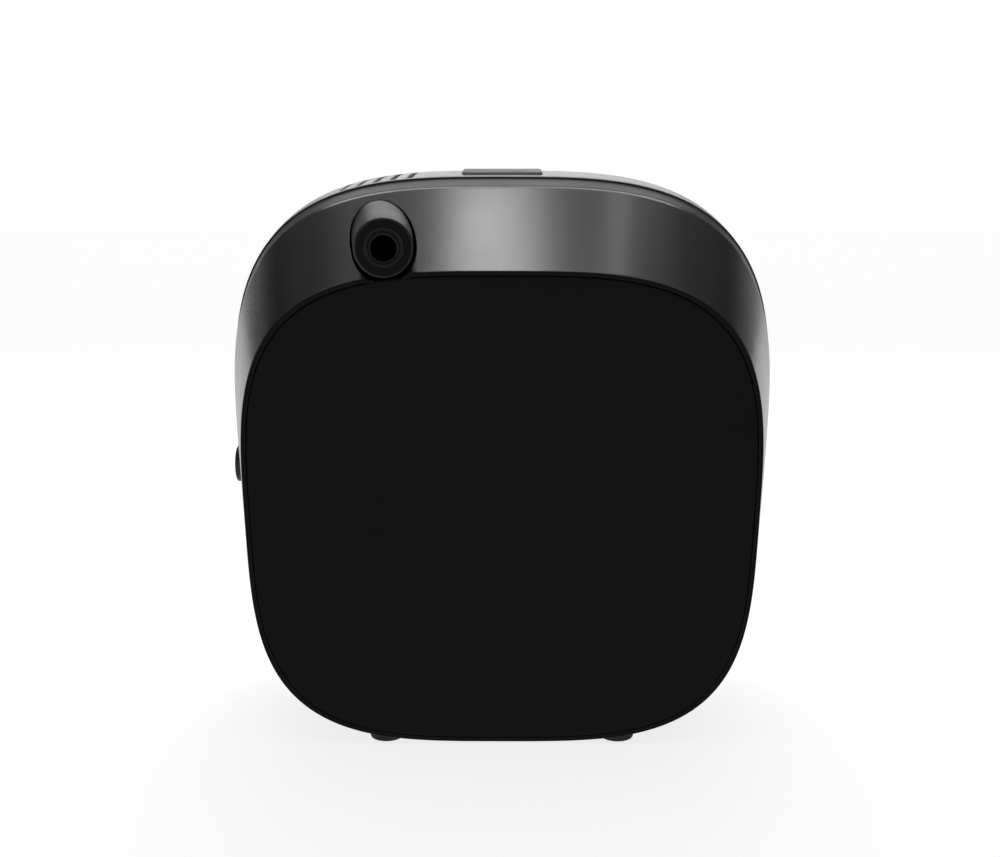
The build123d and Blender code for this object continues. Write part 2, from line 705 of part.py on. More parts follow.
with BuildPart() as battery_straps:
    for strap_x in (-30.0, 30.0):
        for strap_y in ((18.4, 20.0), (94.0, 95.6)):
            block((strap_x - 6, strap_x + 6), strap_y, (TRAY_TOP, BATTERY_TOP + 1.6))
        block((strap_x - 6, strap_x + 6), (20, 94), (BATTERY_TOP, BATTERY_TOP + 1.6))
battery_straps.part.label = "battery_straps"
export_step(battery_straps.part, "parts/battery_straps.step")

BOARD_FACE = PLATE_THICKNESS + 7.0

with BuildPart() as control_board:
    with BuildSketch(back(BOARD_FACE)):
        with Locations((-84, 5)):
            RectangleRounded(66, 70, 3)
        with Locations(*corners_of((-112, -56), (-24, 34))):
            Circle(1.6, mode=Mode.SUBTRACT)
    extrude(amount=-1.6)
control_board.part.label = "control_board"
export_step(control_board.part, "parts/control_board.step")

with BuildPart() as board_components:
    block((-96, -82), (BOARD_FACE + 1.6, BOARD_FACE + 3.6), (-4, 10))
    block((-76, -66), (BOARD_FACE + 1.6, BOARD_FACE + 8.6), (-22, -2))
    block((-76, -66), (BOARD_FACE + 1.6, BOARD_FACE + 8.6), (4, 24))
    for cap_z in (-20, -8):
        stud(-100, BOARD_FACE + 1.6, cap_z, 4.0, 11.0)
    block((-104, -80), (BOARD_FACE + 1.6, BOARD_FACE + 9.6), (24, 33))
board_components.part.label = "board_components"
export_step(board_components.part, "parts/board_components.step")

with BuildPart() as board_screws:
    for board_x, board_z in corners_of((-112, -56), (-24, 34)):
        stud(board_x, BOARD_FACE + 1.6, board_z, 2.6, 1.8)
        stud(board_x, BOARD_FACE - 4.5, board_z, 1.25, 6.5)
board_screws.part.label = "board_screws"
export_step(board_screws.part, "parts/board_screws.step")

with BuildPart() as shell_screws:
    for side_x, side_z in corners_of((-1, 1), (-1, 1)):
        stud(side_x * BOSS_OFFSET, 84.5, side_z * BOSS_OFFSET, 3.6, 3.5)
        stud(side_x * BOSS_OFFSET, 88, side_z * BOSS_OFFSET, 2.0, 41.0)
shell_screws.part.label = "shell_screws"
export_step(shell_screws.part, "parts/shell_screws.step")


# ---------------------------------------------------------------- launch cradle
MOTOR_RADIUS = 19.0
MOTOR_HEIGHT = 44.0
MOTOR_TOP = CRADLE_TOP - CRADLE_SHEET
PIN_RADIUS = 4.0
cradle_wing = (77.0, 150.0)

with BuildPart() as cradle_frame:
    for side in (-1, 1):
        wing = sorted((side * (TROUGH_HALF - CRADLE_SHEET), side * (ARM_X + ARM_THICKNESS)))
        block(wing, cradle_wing, (CRADLE_TOP - CRADLE_SHEET, CRADLE_TOP))
        wall = sorted((side * (TROUGH_HALF - CRADLE_SHEET), side * TROUGH_HALF))
        block(wall, cradle_wing, (TROUGH_BOTTOM, CRADLE_TOP))
        # upright arm with a round head at the tilt axis
        arm_start = ARM_X if side > 0 else -ARM_X - ARM_THICKNESS
        block((arm_start, arm_start + ARM_THICKNESS), (77, 97), (CRADLE_TOP - CRADLE_SHEET, PIVOT_Z))
        rod(arm_start, PIVOT_Y, PIVOT_Z, 10.0, ARM_THICKNESS)
        # seats of the pin and of the motor
        rod(arm_start - 1, PIVOT_Y, PIVOT_Z, PIN_RADIUS + 0.02, ARM_THICKNESS + 2, mode=Mode.SUBTRACT)
        post(side * WHEEL_X, WHEEL_Y, MOTOR_TOP - 1, 7.0, CRADLE_SHEET + 2, mode=Mode.SUBTRACT)
    block((-TROUGH_HALF, TROUGH_HALF), cradle_wing, (TROUGH_BOTTOM, TROUGH_BOTTOM + CRADLE_SHEET))
cradle_frame.part.label = "cradle_frame"
export_step(cradle_frame.part, "parts/cradle_frame.step")

for side, name in ((-1, "left"), (1, "right")):
    with BuildPart() as launch_motor:
        post(side * WHEEL_X, WHEEL_Y, MOTOR_TOP - MOTOR_HEIGHT, MOTOR_RADIUS, MOTOR_HEIGHT)
        fillet(launch_motor.edges(), radius=1.5)
        post(side * WHEEL_X, WHEEL_Y, MOTOR_TOP - 2, 6.8, CRADLE_SHEET + 2)
        post(side * WHEEL_X, WHEEL_Y, MOTOR_TOP - 32, 2.55, 40.0, mode=Mode.SUBTRACT)
        post(side * WHEEL_X, WHEEL_Y, MOTOR_TOP - MOTOR_HEIGHT - 3, 6.0, 3.0)
    launch_motor.part.label = "launch_motor_" + name
    export_step(launch_motor.part, "parts/launch_motor_" + name + ".step")

    with BuildPart() as wheel_shaft:
        post(side * WHEEL_X, WHEEL_Y, MOTOR_TOP - 30, 2.5, 30.0 + CRADLE_SHEET + 37.0)
    wheel_shaft.part.label = "wheel_shaft_" + name
    export_step(wheel_shaft.part, "parts/wheel_shaft_" + name + ".step")

    with BuildPart() as wheel_hub:
        post(side * WHEEL_X, WHEEL_Y, WHEEL_BOTTOM, HUB_RADIUS, WHEEL_WIDTH)
        post(side * WHEEL_X, WHEEL_Y, WHEEL_BOTTOM, HUB_RADIUS - 3, WHEEL_WIDTH / 2 - 4, mode=Mode.SUBTRACT)
        post(side * WHEEL_X, WHEEL_Y, PIVOT_Z + 4, HUB_RADIUS - 3, WHEEL_WIDTH / 2 - 4, mode=Mode.SUBTRACT)
        post(side * WHEEL_X, WHEEL_Y, PIVOT_Z - 14, 7.5, 28.0)
        for spoke in range(5):
            with BuildSketch(deck(PIVOT_Z - 5)):
                with Locations(Location((side * WHEEL_X, WHEEL_Y))):
                    with PolarLocations(20.5, 1, start_angle=72 * spoke):
                        Circle(7.5)
            extrude(amount=10, mode=Mode.SUBTRACT)
        post(side * WHEEL_X, WHEEL_Y, PIVOT_Z - 15, 2.5, 30.0, mode=Mode.SUBTRACT)
    wheel_hub.part.label = "wheel_hub_" + name
    export_step(wheel_hub.part, "parts/wheel_hub_" + name + ".step")

    with BuildPart() as wheel_tyre:
        # the tread is hollowed so that it wraps the ball
        with BuildSketch(Plane(origin=point(side * WHEEL_X, WHEEL_Y, PIVOT_Z), x_dir=(1, 0, 0),
                               z_dir=direction(-1, 0))):
            with BuildLine():
                Line((HUB_RADIUS, -WHEEL_WIDTH / 2), (HUB_RADIUS, WHEEL_WIDTH / 2))
                Line((HUB_RADIUS, WHEEL_WIDTH / 2), (WHEEL_RADIUS - 1, WHEEL_WIDTH / 2))
                Line((WHEEL_RADIUS - 1, WHEEL_WIDTH / 2), (WHEEL_RADIUS, WHEEL_WIDTH / 2 - 2))
                ThreePointArc((WHEEL_RADIUS, WHEEL_WIDTH / 2 - 2), (WHEEL_RADIUS - 4, 0),
                              (WHEEL_RADIUS, 2 - WHEEL_WIDTH / 2))
                Line((WHEEL_RADIUS, 2 - WHEEL_WIDTH / 2), (WHEEL_RADIUS - 1, -WHEEL_WIDTH / 2))
                Line((WHEEL_RADIUS - 1, -WHEEL_WIDTH / 2), (HUB_RADIUS, -WHEEL_WIDTH / 2))
            make_face()
        revolve(axis=Axis(point(side * WHEEL_X, WHEEL_Y, PIVOT_Z), direction(0, 1)))
    wheel_tyre.part.label = "wheel_tyre_" + name
    export_step(wheel_tyre.part, "parts/wheel_tyre_" + name + ".step")

with BuildPart() as motor_screws:
    for side in (-1, 1):
        for turn in range(4):
            angle = pi / 4 + pi / 2 * turn
            screw_x = side * WHEEL_X + 12.5 * cos(angle)
            screw_y = WHEEL_Y + 12.5 * sin(angle)
            post(screw_x, screw_y, CRADLE_TOP, 2.6, 1.8)
motor_screws.part.label = "motor_screws"
export_step(motor_screws.part, "parts/motor_screws.step")

with BuildPart() as cradle_pins:
    rod(ARM_X - 2, PIVOT_Y, PIVOT_Z, PIN_RADIUS, 11.6)
    rod(ARM_X - 3.5, PIVOT_Y, PIVOT_Z, PIN_RADIUS + 2, 1.5)
    rod(-ARM_X - 9.6, PIVOT_Y, PIVOT_Z, PIN_RADIUS, 11.6)
    rod(-ARM_X + 2, PIVOT_Y, PIVOT_Z, PIN_RADIUS + 2, 1.5)
cradle_pins.part.label = "cradle_pins"
export_step(cradle_pins.part, "parts/cradle_pins.step")


# ---------------------------------------------------------------- cradle bearings on the housing
BEARING_BOLTS = corners_of((PIVOT_Y - 9.5, PIVOT_Y + 9.5), (PIVOT_Z - 9.5, PIVOT_Z + 9.5))

with BuildPart() as cradle_bearings:
    for side in (-1, 1):
        start = BEARING_X if side > 0 else -BEARING_END
        with BuildSketch(flank(start)):
            with Locations((PIVOT_Y, PIVOT_Z)):
                RectangleRounded(28, 28, 5)
        extrude(amount=BEARING_END - BEARING_X)
        rod(start - 1, PIVOT_Y, PIVOT_Z, PIN_RADIUS + 0.05, BEARING_END - BEARING_X + 2, mode=Mode.SUBTRACT)
        for bolt_y, bolt_z in BEARING_BOLTS:
            rod(side * (BEARING_X + 1) - 1, bolt_y, bolt_z, 2.4, 2, mode=Mode.SUBTRACT)
cradle_bearings.part.label = "cradle_bearings"
export_step(cradle_bearings.part, "parts/cradle_bearings.step")


# ---------------------------------------------------------------- tilt drive
SECTOR_SPAN = (151.0, 190.0)     # part of the circle that carries teeth, at rest
sector_pitch = SECTOR_TEETH * GEAR_MODULE / 2
pinion_pitch = PINION_TEETH * GEAR_MODULE / 2
TILT_MOTOR_Y = PIVOT_Y - sector_pitch - pinion_pitch
tooth_step = 2 * pi / SECTOR_TEETH
first_tooth = round(radians(SECTOR_SPAN[0]) / tooth_step)
last_tooth = round(radians(SECTOR_SPAN[1]) / tooth_step)

with BuildPart() as sector_gear:
    outline = []
    for tooth in range(first_tooth, last_tooth + 1):
        outline += tooth_points(SECTOR_TEETH, tooth * tooth_step)
    outline.append((8.0 * cos(last_tooth * tooth_step + 0.5), 8.0 * sin(last_tooth * tooth_step + 0.5)))
    outline.append((8.0 * cos(first_tooth * tooth_step - 0.5), 8.0 * sin(first_tooth * tooth_step - 0.5)))
    with BuildSketch(flank(SECTOR_X, PIVOT_Y, PIVOT_Z)):
        with BuildLine():
            Polyline(outline, close=True)
        make_face()
        Circle(11.0)
        Circle(PIN_RADIUS + 2.02, mode=Mode.SUBTRACT)
    extrude(amount=SECTOR_WIDTH)
    # spacer ring against the cradle's arm
    with BuildSketch(flank(SECTOR_X + SECTOR_WIDTH, PIVOT_Y, PIVOT_Z)):
        Circle(9.0)
        Circle(PIN_RADIUS + 2.02, mode=Mode.SUBTRACT)
    extrude(amount=ARM_X - SECTOR_X - SECTOR_WIDTH)
sector_gear.part.label = "sector_gear"
export_step(sector_gear.part, "parts/sector_gear.step")

with BuildPart() as tilt_pinion:
    # a gap between two teeth faces the sector
    toothed_disc(SECTOR_X - 1.5, TILT_MOTOR_Y, PIVOT_Z, SECTOR_WIDTH + 3, PINION_TEETH, pi / PINION_TEETH)
    rod(SECTOR_X - 2.5, TILT_MOTOR_Y, PIVOT_Z, 2.5, SECTOR_WIDTH + 5, mode=Mode.SUBTRACT)
tilt_pinion.part.label = "tilt_pinion"
export_step(tilt_pinion.part, "parts/tilt_pinion.step")

with BuildPart() as tilt_motor_shaft:
    rod(90, TILT_MOTOR_Y, PIVOT_Z, 2.5, 35.0)
tilt_motor_shaft.part.label = "tilt_motor_shaft"
export_step(tilt_motor_shaft.part, "parts/tilt_motor_shaft.step")

with BuildPart() as tilt_motor:
    with BuildSketch(flank(82)):
        with Locations((TILT_MOTOR_Y, PIVOT_Z)):
            RectangleRounded(28, 28, 3)
    extrude(amount=30)
    rod(112, TILT_MOTOR_Y, PIVOT_Z, 11.0, 1.8)
    rod(88, TILT_MOTOR_Y, PIVOT_Z, 2.55, 30.0, mode=Mode.SUBTRACT)
tilt_motor.part.label = "tilt_motor"
export_step(tilt_motor.part, "parts/tilt_motor.step")

TILT_POSTS = ((22, -57), (22, -23))

with BuildPart() as tilt_motor_bracket:
    with BuildSketch(flank(112)):
        with Locations((TILT_MOTOR_Y - 3, PIVOT_Z)):
            RectangleRounded(36, 44, 3)
        with Locations((TILT_MOTOR_Y, PIVOT_Z)):
            Circle(11.2, mode=Mode.SUBTRACT)
    extrude(amount=2)
    for post_y, post_z in TILT_POSTS:
        rod(114, post_y, post_z, 3.5, TILT_PAD_X - 114.1)
tilt_motor_bracket.part.label = "tilt_motor_bracket"
export_step(tilt_motor_bracket.part, "parts/tilt_motor_bracket.step")


# ---------------------------------------------------------------- feed lane and drop chute
with BuildPart() as feed_lane:
    for side in (-1, 1):
        wall = sorted((side * LANE_INNER, side * (LANE_INNER + LANE_SHEET)))
        block(wall, (LANE_REAR, LANE_FRONT), (LANE_FLOOR_TOP - LANE_SHEET, LANE_WALL_TOP))
        block(wall, (STAR_Y - 8, STAR_Y + 8), (STAR_Z - 7, LANE_FLOOR_TOP))
        floor = sorted((side * RAIL_X, side * LANE_INNER))
        block(floor, (LANE_REAR, LANE_FRONT), (LANE_FLOOR_TOP - LANE_SHEET, LANE_FLOOR_TOP))
        rail = sorted((side * RAIL_X, side * (RAIL_X + LANE_SHEET)))
        rail_top = LANE_CENTRE_Z - (BALL_RADIUS ** 2 - RAIL_X ** 2) ** 0.5
        block(rail, (LANE_REAR, LANE_FRONT), (LANE_FLOOR_TOP, rail_top))
    # cross strap that joins the two sides at the front
    strap = (LANE_FRONT - 8, LANE_FRONT)
    block((-RAIL_X, RAIL_X), strap, (LANE_FLOOR_TOP - LANE_SHEET, LANE_FLOOR_TOP - 0.5))
    rod(-50, STAR_Y, STAR_Z, 4.5, 100.0, mode=Mode.SUBTRACT)
feed_lane.part.label = "feed_lane"
export_step(feed_lane.part, "parts/feed_lane.step")

with BuildPart() as lane_brackets:
    for side in (-1, 1):
        bar = sorted((side * (LANE_INNER + LANE_SHEET), side * 130.9))
        block(bar, (84, 88), (73, 83))
        foot = sorted((side * 128.9, side * 130.9))
        block(foot, (77, 89), (73, 83))
        tab = sorted((side * (LANE_INNER + LANE_SHEET), side * (LANE_INNER + LANE_SHEET + 2)))
        block(tab, (84, 98), (73, 83))
lane_brackets.part.label = "lane_brackets"
export_step(lane_brackets.part, "parts/lane_brackets.step")

CHUTE_AXIS_Y = 74.0
CHUTE_AXIS_Z = -10.0
CHUTE_RADIUS = 65.0
CHUTE_TOP = 100.0

with BuildPart() as drop_chute:
    # curved back and floor, from the vertical drop to the level run
    with BuildSketch(flank(-LANE_INNER - LANE_SHEET)):
        with BuildLine():
            far = CHUTE_RADIUS + LANE_SHEET
            Line((CHUTE_AXIS_Y - CHUTE_RADIUS, CHUTE_TOP), (CHUTE_AXIS_Y - CHUTE_RADIUS, CHUTE_AXIS_Z))
            RadiusArc((CHUTE_AXIS_Y - CHUTE_RADIUS, CHUTE_AXIS_Z), (CHUTE_AXIS_Y, CHUTE_AXIS_Z - CHUTE_RADIUS),
                      -CHUTE_RADIUS)
            Line((CHUTE_AXIS_Y, CHUTE_AXIS_Z - CHUTE_RADIUS), (CHUTE_AXIS_Y, CHUTE_AXIS_Z - far))
            RadiusArc((CHUTE_AXIS_Y, CHUTE_AXIS_Z - far), (CHUTE_AXIS_Y - far, CHUTE_AXIS_Z), far)
            Line((CHUTE_AXIS_Y - far, CHUTE_AXIS_Z), (CHUTE_AXIS_Y - far, CHUTE_TOP))
            Line((CHUTE_AXIS_Y - far, CHUTE_TOP), (CHUTE_AXIS_Y - CHUTE_RADIUS, CHUTE_TOP))
        make_face()
    extrude(amount=2 * (LANE_INNER + LANE_SHEET))
    # side cheeks
    for start in (-LANE_INNER - LANE_SHEET, LANE_INNER):
        with BuildSketch(flank(start)):
            with BuildLine():
                Line((CHUTE_AXIS_Y - far, CHUTE_TOP), (CHUTE_AXIS_Y - far, CHUTE_AXIS_Z))
                RadiusArc((CHUTE_AXIS_Y - far, CHUTE_AXIS_Z), (CHUTE_AXIS_Y, CHUTE_AXIS_Z - far), -far)
                Line((CHUTE_AXIS_Y, CHUTE_AXIS_Z - far), (CHUTE_AXIS_Y, -8))
                Line((CHUTE_AXIS_Y, -8), (LANE_REAR - 0.2, 4))
                Line((LANE_REAR - 0.2, 4), (LANE_REAR - 0.2, LANE_WALL_TOP))
                Line((LANE_REAR - 0.2, LANE_WALL_TOP), (CHUTE_AXIS_Y - far, CHUTE_TOP))
            make_face()
        extrude(amount=LANE_SHEET)
    # front wall under the lane
    block((-LANE_INNER, LANE_INNER), (LANE_REAR - 2.7, LANE_REAR - 0.2), (4, LANE_FLOOR_TOP))
drop_chute.part.label = "drop_chute"
export_step(drop_chute.part, "parts/drop_chute.step")

with BuildPart() as ball_sensor:
    block((39.0, 47.0), (38, 50), (20, 32))
    block((-47.0, -39.0), (38, 50), (20, 32))
ball_sensor.part.label = "ball_sensor"
export_step(ball_sensor.part, "parts/ball_sensor.step")


# ---------------------------------------------------------------- feeder
SHAFT_RADIUS = 3.0
GEAR_X = 43.0
GEAR_WIDTH = 6.0

with BuildPart() as feed_bushes:
    for start in (LANE_INNER - 0.5, -LANE_INNER - LANE_SHEET - 0.5):
        rod(start, STAR_Y, STAR_Z, 4.45, LANE_SHEET + 1)
    rod(-50, STAR_Y, STAR_Z, SHAFT_RADIUS + 0.05, 100, mode=Mode.SUBTRACT)
feed_bushes.part.label = "feed_bushes"
export_step(feed_bushes.part, "parts/feed_bushes.step")

with BuildPart() as feed_shaft:
    rod(-LANE_INNER - LANE_SHEET - 2, STAR_Y, STAR_Z, SHAFT_RADIUS, 92.5)
feed_shaft.part.label = "feed_shaft"
export_step(feed_shaft.part, "parts/feed_shaft.step")

with BuildPart() as feed_star:
    rod(-8, STAR_Y, STAR_Z, 8.0, 16.0)
    with BuildSketch(flank(-6)):
        with Locations((STAR_Y, STAR_Z)):
            with PolarLocations(STAR_RADIUS / 2, 3, start_angle=90):
                SlotOverall(STAR_RADIUS, 8)
    extrude(amount=12)
    rod(-9, STAR_Y, STAR_Z, SHAFT_RADIUS, 18.0, mode=Mode.SUBTRACT)
feed_star.part.label = "feed_star"
export_step(feed_star.part, "parts/feed_star.step")

with BuildPart() as feed_gear:
    # a tooth points straight up at the pinion
    toothed_disc(GEAR_X, STAR_Y, STAR_Z, GEAR_WIDTH, FEED_TEETH, pi / 2)
    rod(GEAR_X - 1, STAR_Y, STAR_Z, 6.0, GEAR_WIDTH + 2)
    rod(GEAR_X - 2, STAR_Y, STAR_Z, SHAFT_RADIUS, GEAR_WIDTH + 4, mode=Mode.SUBTRACT)
    for hole in range(6):
        with BuildSketch(flank(GEAR_X - 1)):
            with Locations(Location((STAR_Y, STAR_Z))):
                with PolarLocations(12.0, 1, start_angle=60 * hole):
                    Circle(3.2)
        extrude(amount=GEAR_WIDTH + 2, mode=Mode.SUBTRACT)
feed_gear.part.label = "feed_gear"
export_step(feed_gear.part, "parts/feed_gear.step")

with BuildPart() as feed_pinion:
    # a gap between two teeth points straight down at the gear
    toothed_disc(GEAR_X - 0.5, STAR_Y, FEED_MOTOR_Z, GEAR_WIDTH + 1, PINION_TEETH, -pi / 2 + pi / PINION_TEETH)
    rod(GEAR_X - 1, STAR_Y, FEED_MOTOR_Z, 2.0, GEAR_WIDTH + 2, mode=Mode.SUBTRACT)
feed_pinion.part.label = "feed_pinion"
export_step(feed_pinion.part, "parts/feed_pinion.step")

with BuildPart() as feed_motor_shaft:
    rod(GEAR_X - 1.0, STAR_Y, FEED_MOTOR_Z, 2.0, 24.0)
feed_motor_shaft.part.label = "feed_motor_shaft"
export_step(feed_motor_shaft.part, "parts/feed_motor_shaft.step")

with BuildPart() as feed_motor:
    rod(54, STAR_Y, FEED_MOTOR_Z, 12.5, 18.0)
    rod(72, STAR_Y, FEED_MOTOR_Z, 11.5, 26.0)
    rod(53, STAR_Y, FEED_MOTOR_Z, 2.05, 16.0, mode=Mode.SUBTRACT)
feed_motor.part.label = "feed_motor"
export_step(feed_motor.part, "parts/feed_motor.step")

with BuildPart() as feed_motor_bracket:
    with BuildSketch(flank(52)):
        with Locations((STAR_Y, 56)):
            RectangleRounded(44, 28, 3)
        with Locations((STAR_Y, FEED_MOTOR_Z)):
            Circle(4.5, mode=Mode.SUBTRACT)
    extrude(amount=2)
    for post_y in (STAR_Y - 17, STAR_Y + 17):
        rod(LANE_INNER + LANE_SHEET, post_y, 62, 3.5, 13.0)
feed_motor_bracket.part.label = "feed_motor_bracket"
export_step(feed_motor_bracket.part, "parts/feed_motor_bracket.step")


# ---------------------------------------------------------------- cooling fan
with BuildPart() as fan_frame:
    with BuildSketch(deck(FAN_BOTTOM)):
        with Locations((FAN_X, FAN_Y)):
            RectangleRounded(FAN_SIZE, FAN_SIZE, 4)
            Circle(22.5, mode=Mode.SUBTRACT)
    extrude(amount=FAN_THICKNESS)
    for side in (-1, 1):
        ear = sorted((FAN_X + side * 24.0, FAN_X + side * 35.0))
        block(ear, (FAN_Y - 6, FAN_Y + 6), (FAN_BOTTOM + 3, FAN_BOTTOM + 6))
        post(FAN_X + side * 31, FAN_Y, FAN_BOTTOM, 1.7, 8.0, mode=Mode.SUBTRACT)
    # motor seat on three arms
    post(FAN_X, FAN_Y, FAN_BOTTOM, 11.0, 1.6)
    for arm in range(3):
        with BuildSketch(deck(FAN_BOTTOM)):
            with Locations(Location((FAN_X, FAN_Y))):
                with PolarLocations(16.5, 1, start_angle=30 + 120 * arm):
                    Rectangle(14, 3)
        extrude(amount=1.6)
    post(FAN_X, FAN_Y, FAN_BOTTOM, 1.5, 6.5)
fan_frame.part.label = "fan_frame"
export_step(fan_frame.part, "parts/fan_frame.step")

with BuildPart() as fan_rotor:
    post(FAN_X, FAN_Y, FAN_BOTTOM + 2.2, 11.0, 8.6)
    for blade in range(7):
        turn = 2 * pi * blade / 7
        with BuildSketch(Plane(origin=point(FAN_X + 9 * cos(turn), FAN_Y + 9 * sin(turn), FAN_BOTTOM + 6.4),
                               x_dir=(-sin(turn), *direction(cos(turn), 0)[1:]),
                               z_dir=(cos(turn), *direction(sin(turn), 0)[1:]))):
            Rectangle(9.0, 1.2, rotation=35)
        extrude(amount=12.0)
    post(FAN_X, FAN_Y, FAN_BOTTOM, 1.55, 8.0, mode=Mode.SUBTRACT)
fan_rotor.part.label = "fan_rotor"
export_step(fan_rotor.part, "parts/fan_rotor.step")


# ---------------------------------------------------------------- small screws
with BuildPart() as small_screws:
    for tray_x, tray_y in TRAY_POSTS:
        post(tray_x, tray_y, TRAY_TOP, 3.0, 2.2)
        post(tray_x, tray_y, TRAY_TOP - 10, 1.45, 10.0)
    for side in (-1, 1):
        post(FAN_X + side * 31, FAN_Y, FAN_BOTTOM + 1.2, 3.0, 1.8)
        post(FAN_X + side * 31, FAN_Y, FAN_BOTTOM + 3.0, 1.5, 12.0)
        for bolt_y, bolt_z in BEARING_BOLTS:
            rod(side * (BEARING_X + 1.1) - 0.9, bolt_y, bolt_z, 2.2, 1.8)
small_screws.part.label = "small_screws"
export_step(small_screws.part, "parts/small_screws.step")
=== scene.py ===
"""Looks of the compact tennis ball machine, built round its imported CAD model.

Lengths named in millimetres are turned into metres by MM. The machine's own axis rises by RISE from
the flat back plate to the dome: x runs across it, y along it and z square to both.
"""
import json
from math import copysign, cos, pi, radians, sin, sqrt

import bmesh
import bpy
from mathutils import Matrix, Vector


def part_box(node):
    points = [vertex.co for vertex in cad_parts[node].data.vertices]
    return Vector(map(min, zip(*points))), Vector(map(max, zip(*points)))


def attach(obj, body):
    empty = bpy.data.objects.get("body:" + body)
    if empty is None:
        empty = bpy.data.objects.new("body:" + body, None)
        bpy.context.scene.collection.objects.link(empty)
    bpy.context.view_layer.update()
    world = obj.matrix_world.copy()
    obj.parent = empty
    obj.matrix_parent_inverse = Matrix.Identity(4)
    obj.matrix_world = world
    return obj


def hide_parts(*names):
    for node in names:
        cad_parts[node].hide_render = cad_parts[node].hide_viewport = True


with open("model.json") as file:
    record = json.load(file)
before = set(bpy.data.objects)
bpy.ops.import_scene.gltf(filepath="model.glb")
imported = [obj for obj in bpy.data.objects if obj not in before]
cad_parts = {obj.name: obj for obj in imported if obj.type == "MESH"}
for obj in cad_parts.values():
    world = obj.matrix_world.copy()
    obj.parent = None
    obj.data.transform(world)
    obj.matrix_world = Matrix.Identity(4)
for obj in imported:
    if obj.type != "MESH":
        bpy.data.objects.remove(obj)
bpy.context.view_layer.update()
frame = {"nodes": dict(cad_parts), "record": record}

# ------------------------------------------------------------------ machine axis and case sizes
MM = 0.001
RISE = radians(11.5)
ACROSS = Vector((1, 0, 0))
ALONG = Vector((0, cos(RISE), sin(RISE)))
UP = Vector((0, -sin(RISE), cos(RISE)))

REAR_HALF = 128.0
BAND_HALF = 149.2
SEAM_HALF = 151.2
BAND_DEPTH = 98.0
TRIM_END = 113.0
SEAM_END = 114.3
TRIM_FRONT = TRIM_END - 0.4     # where the trim ring's and the dome's rounded edges start
DOME_REAR = SEAM_END + 0.3
DOME_DEPTH = 88.8
DOME_HALF = SEAM_HALF + 0.25
REAR_POWER = 3.46
FRONT_POWER = 3.25
DOME_POWER = 3.0
WALL = 3.0
PLATE_HALF = 125.4
RECESS_HALF = 125.8
LEDGE_HALF = 120.0
TURNS = 240                  # points round a rounded-square outline
SKIN_TOLERANCE = 0.12        # how near a vertex lies to the skin it belongs to

plate = frame["nodes"]["back_plate"].data.vertices
plate_heights = [UP.dot(vertex.co) for vertex in plate]
plate_depth = min(ALONG.dot(vertex.co) for vertex in plate)
ORIGIN = ALONG * plate_depth + UP * (min(plate_heights) + max(plate_heights)) / 2


def at(x, y, z):
    """A point given in millimetres along the machine's axis, in the part's frame."""
    return ORIGIN + (ACROSS * x + ALONG * y + UP * z) * MM


# ------------------------------------------------------------------ material library
class Nodes:
    """Short forms for building one material's node tree."""

    def __init__(self, name):
        self.material = bpy.data.materials.new(name)
        self.material.use_nodes = True
        self.tree = self.material.node_tree
        self.shader = self.tree.nodes["Principled BSDF"]
        self.place = self.tree.nodes.new("ShaderNodeTexCoord").outputs["Object"]

    def link(self, source, target):
        self.tree.links.new(source, target)

    def noise(self, scale, detail=2.0, rough=0.5, stretch=None, distortion=0.0):
        node = self.tree.nodes.new("ShaderNodeTexNoise")
        node.inputs["Scale"].default_value = scale
        node.inputs["Detail"].default_value = detail
        node.inputs["Roughness"].default_value = rough
        node.inputs["Distortion"].default_value = distortion
        if stretch:
            mapping = self.tree.nodes.new("ShaderNodeMapping")
            mapping.inputs["Scale"].default_value = stretch
            self.link(self.place, mapping.inputs["Vector"])
            self.link(mapping.outputs["Vector"], node.inputs["Vector"])
        else:
            self.link(self.place, node.inputs["Vector"])
        return node.outputs["Fac"]

    def cells(self, scale, feature="F1"):
        node = self.tree.nodes.new("ShaderNodeTexVoronoi")
        node.feature = feature
        node.inputs["Scale"].default_value = scale
        self.link(self.place, node.inputs["Vector"])
        return node.outputs["Distance"]

    def spread(self, source, low, high, out_low, out_high):
        """Map a value's range to another, clamped."""
        node = self.tree.nodes.new("ShaderNodeMapRange")
        limits = (low, high, out_low, out_high)
        for socket, value in zip(("From Min", "From Max", "To Min", "To Max"), limits):
            node.inputs[socket].default_value = value
        self.link(source, node.inputs["Value"])
        return node.outputs["Result"]

    def blend(self, factor, colour_a, colour_b):
        """Mix two colours, each a tuple or a socket."""
        node = self.tree.nodes.new("ShaderNodeMix")
        node.data_type = "RGBA"
        self.link(factor, node.inputs[0])
        for socket, colour in ((node.inputs[6], colour_a), (node.inputs[7], colour_b)):
            if isinstance(colour, tuple):
                socket.default_value = (*colour, 1.0)
            else:
                self.link(colour, socket)
        return node.outputs[2]

    def bump(self, *layers):
        """Stack bump layers of (height, distance in metres, strength)."""
        normal = None
        for height, distance, strength in layers:
            node = self.tree.nodes.new("ShaderNodeBump")
            node.inputs["Distance"].default_value = distance
            node.inputs["Strength"].default_value = strength
            self.link(height, node.inputs["Height"])
            if normal:
                self.link(normal, node.inputs["Normal"])
            normal = node.outputs["Normal"]
        self.link(normal, self.shader.inputs["Normal"])


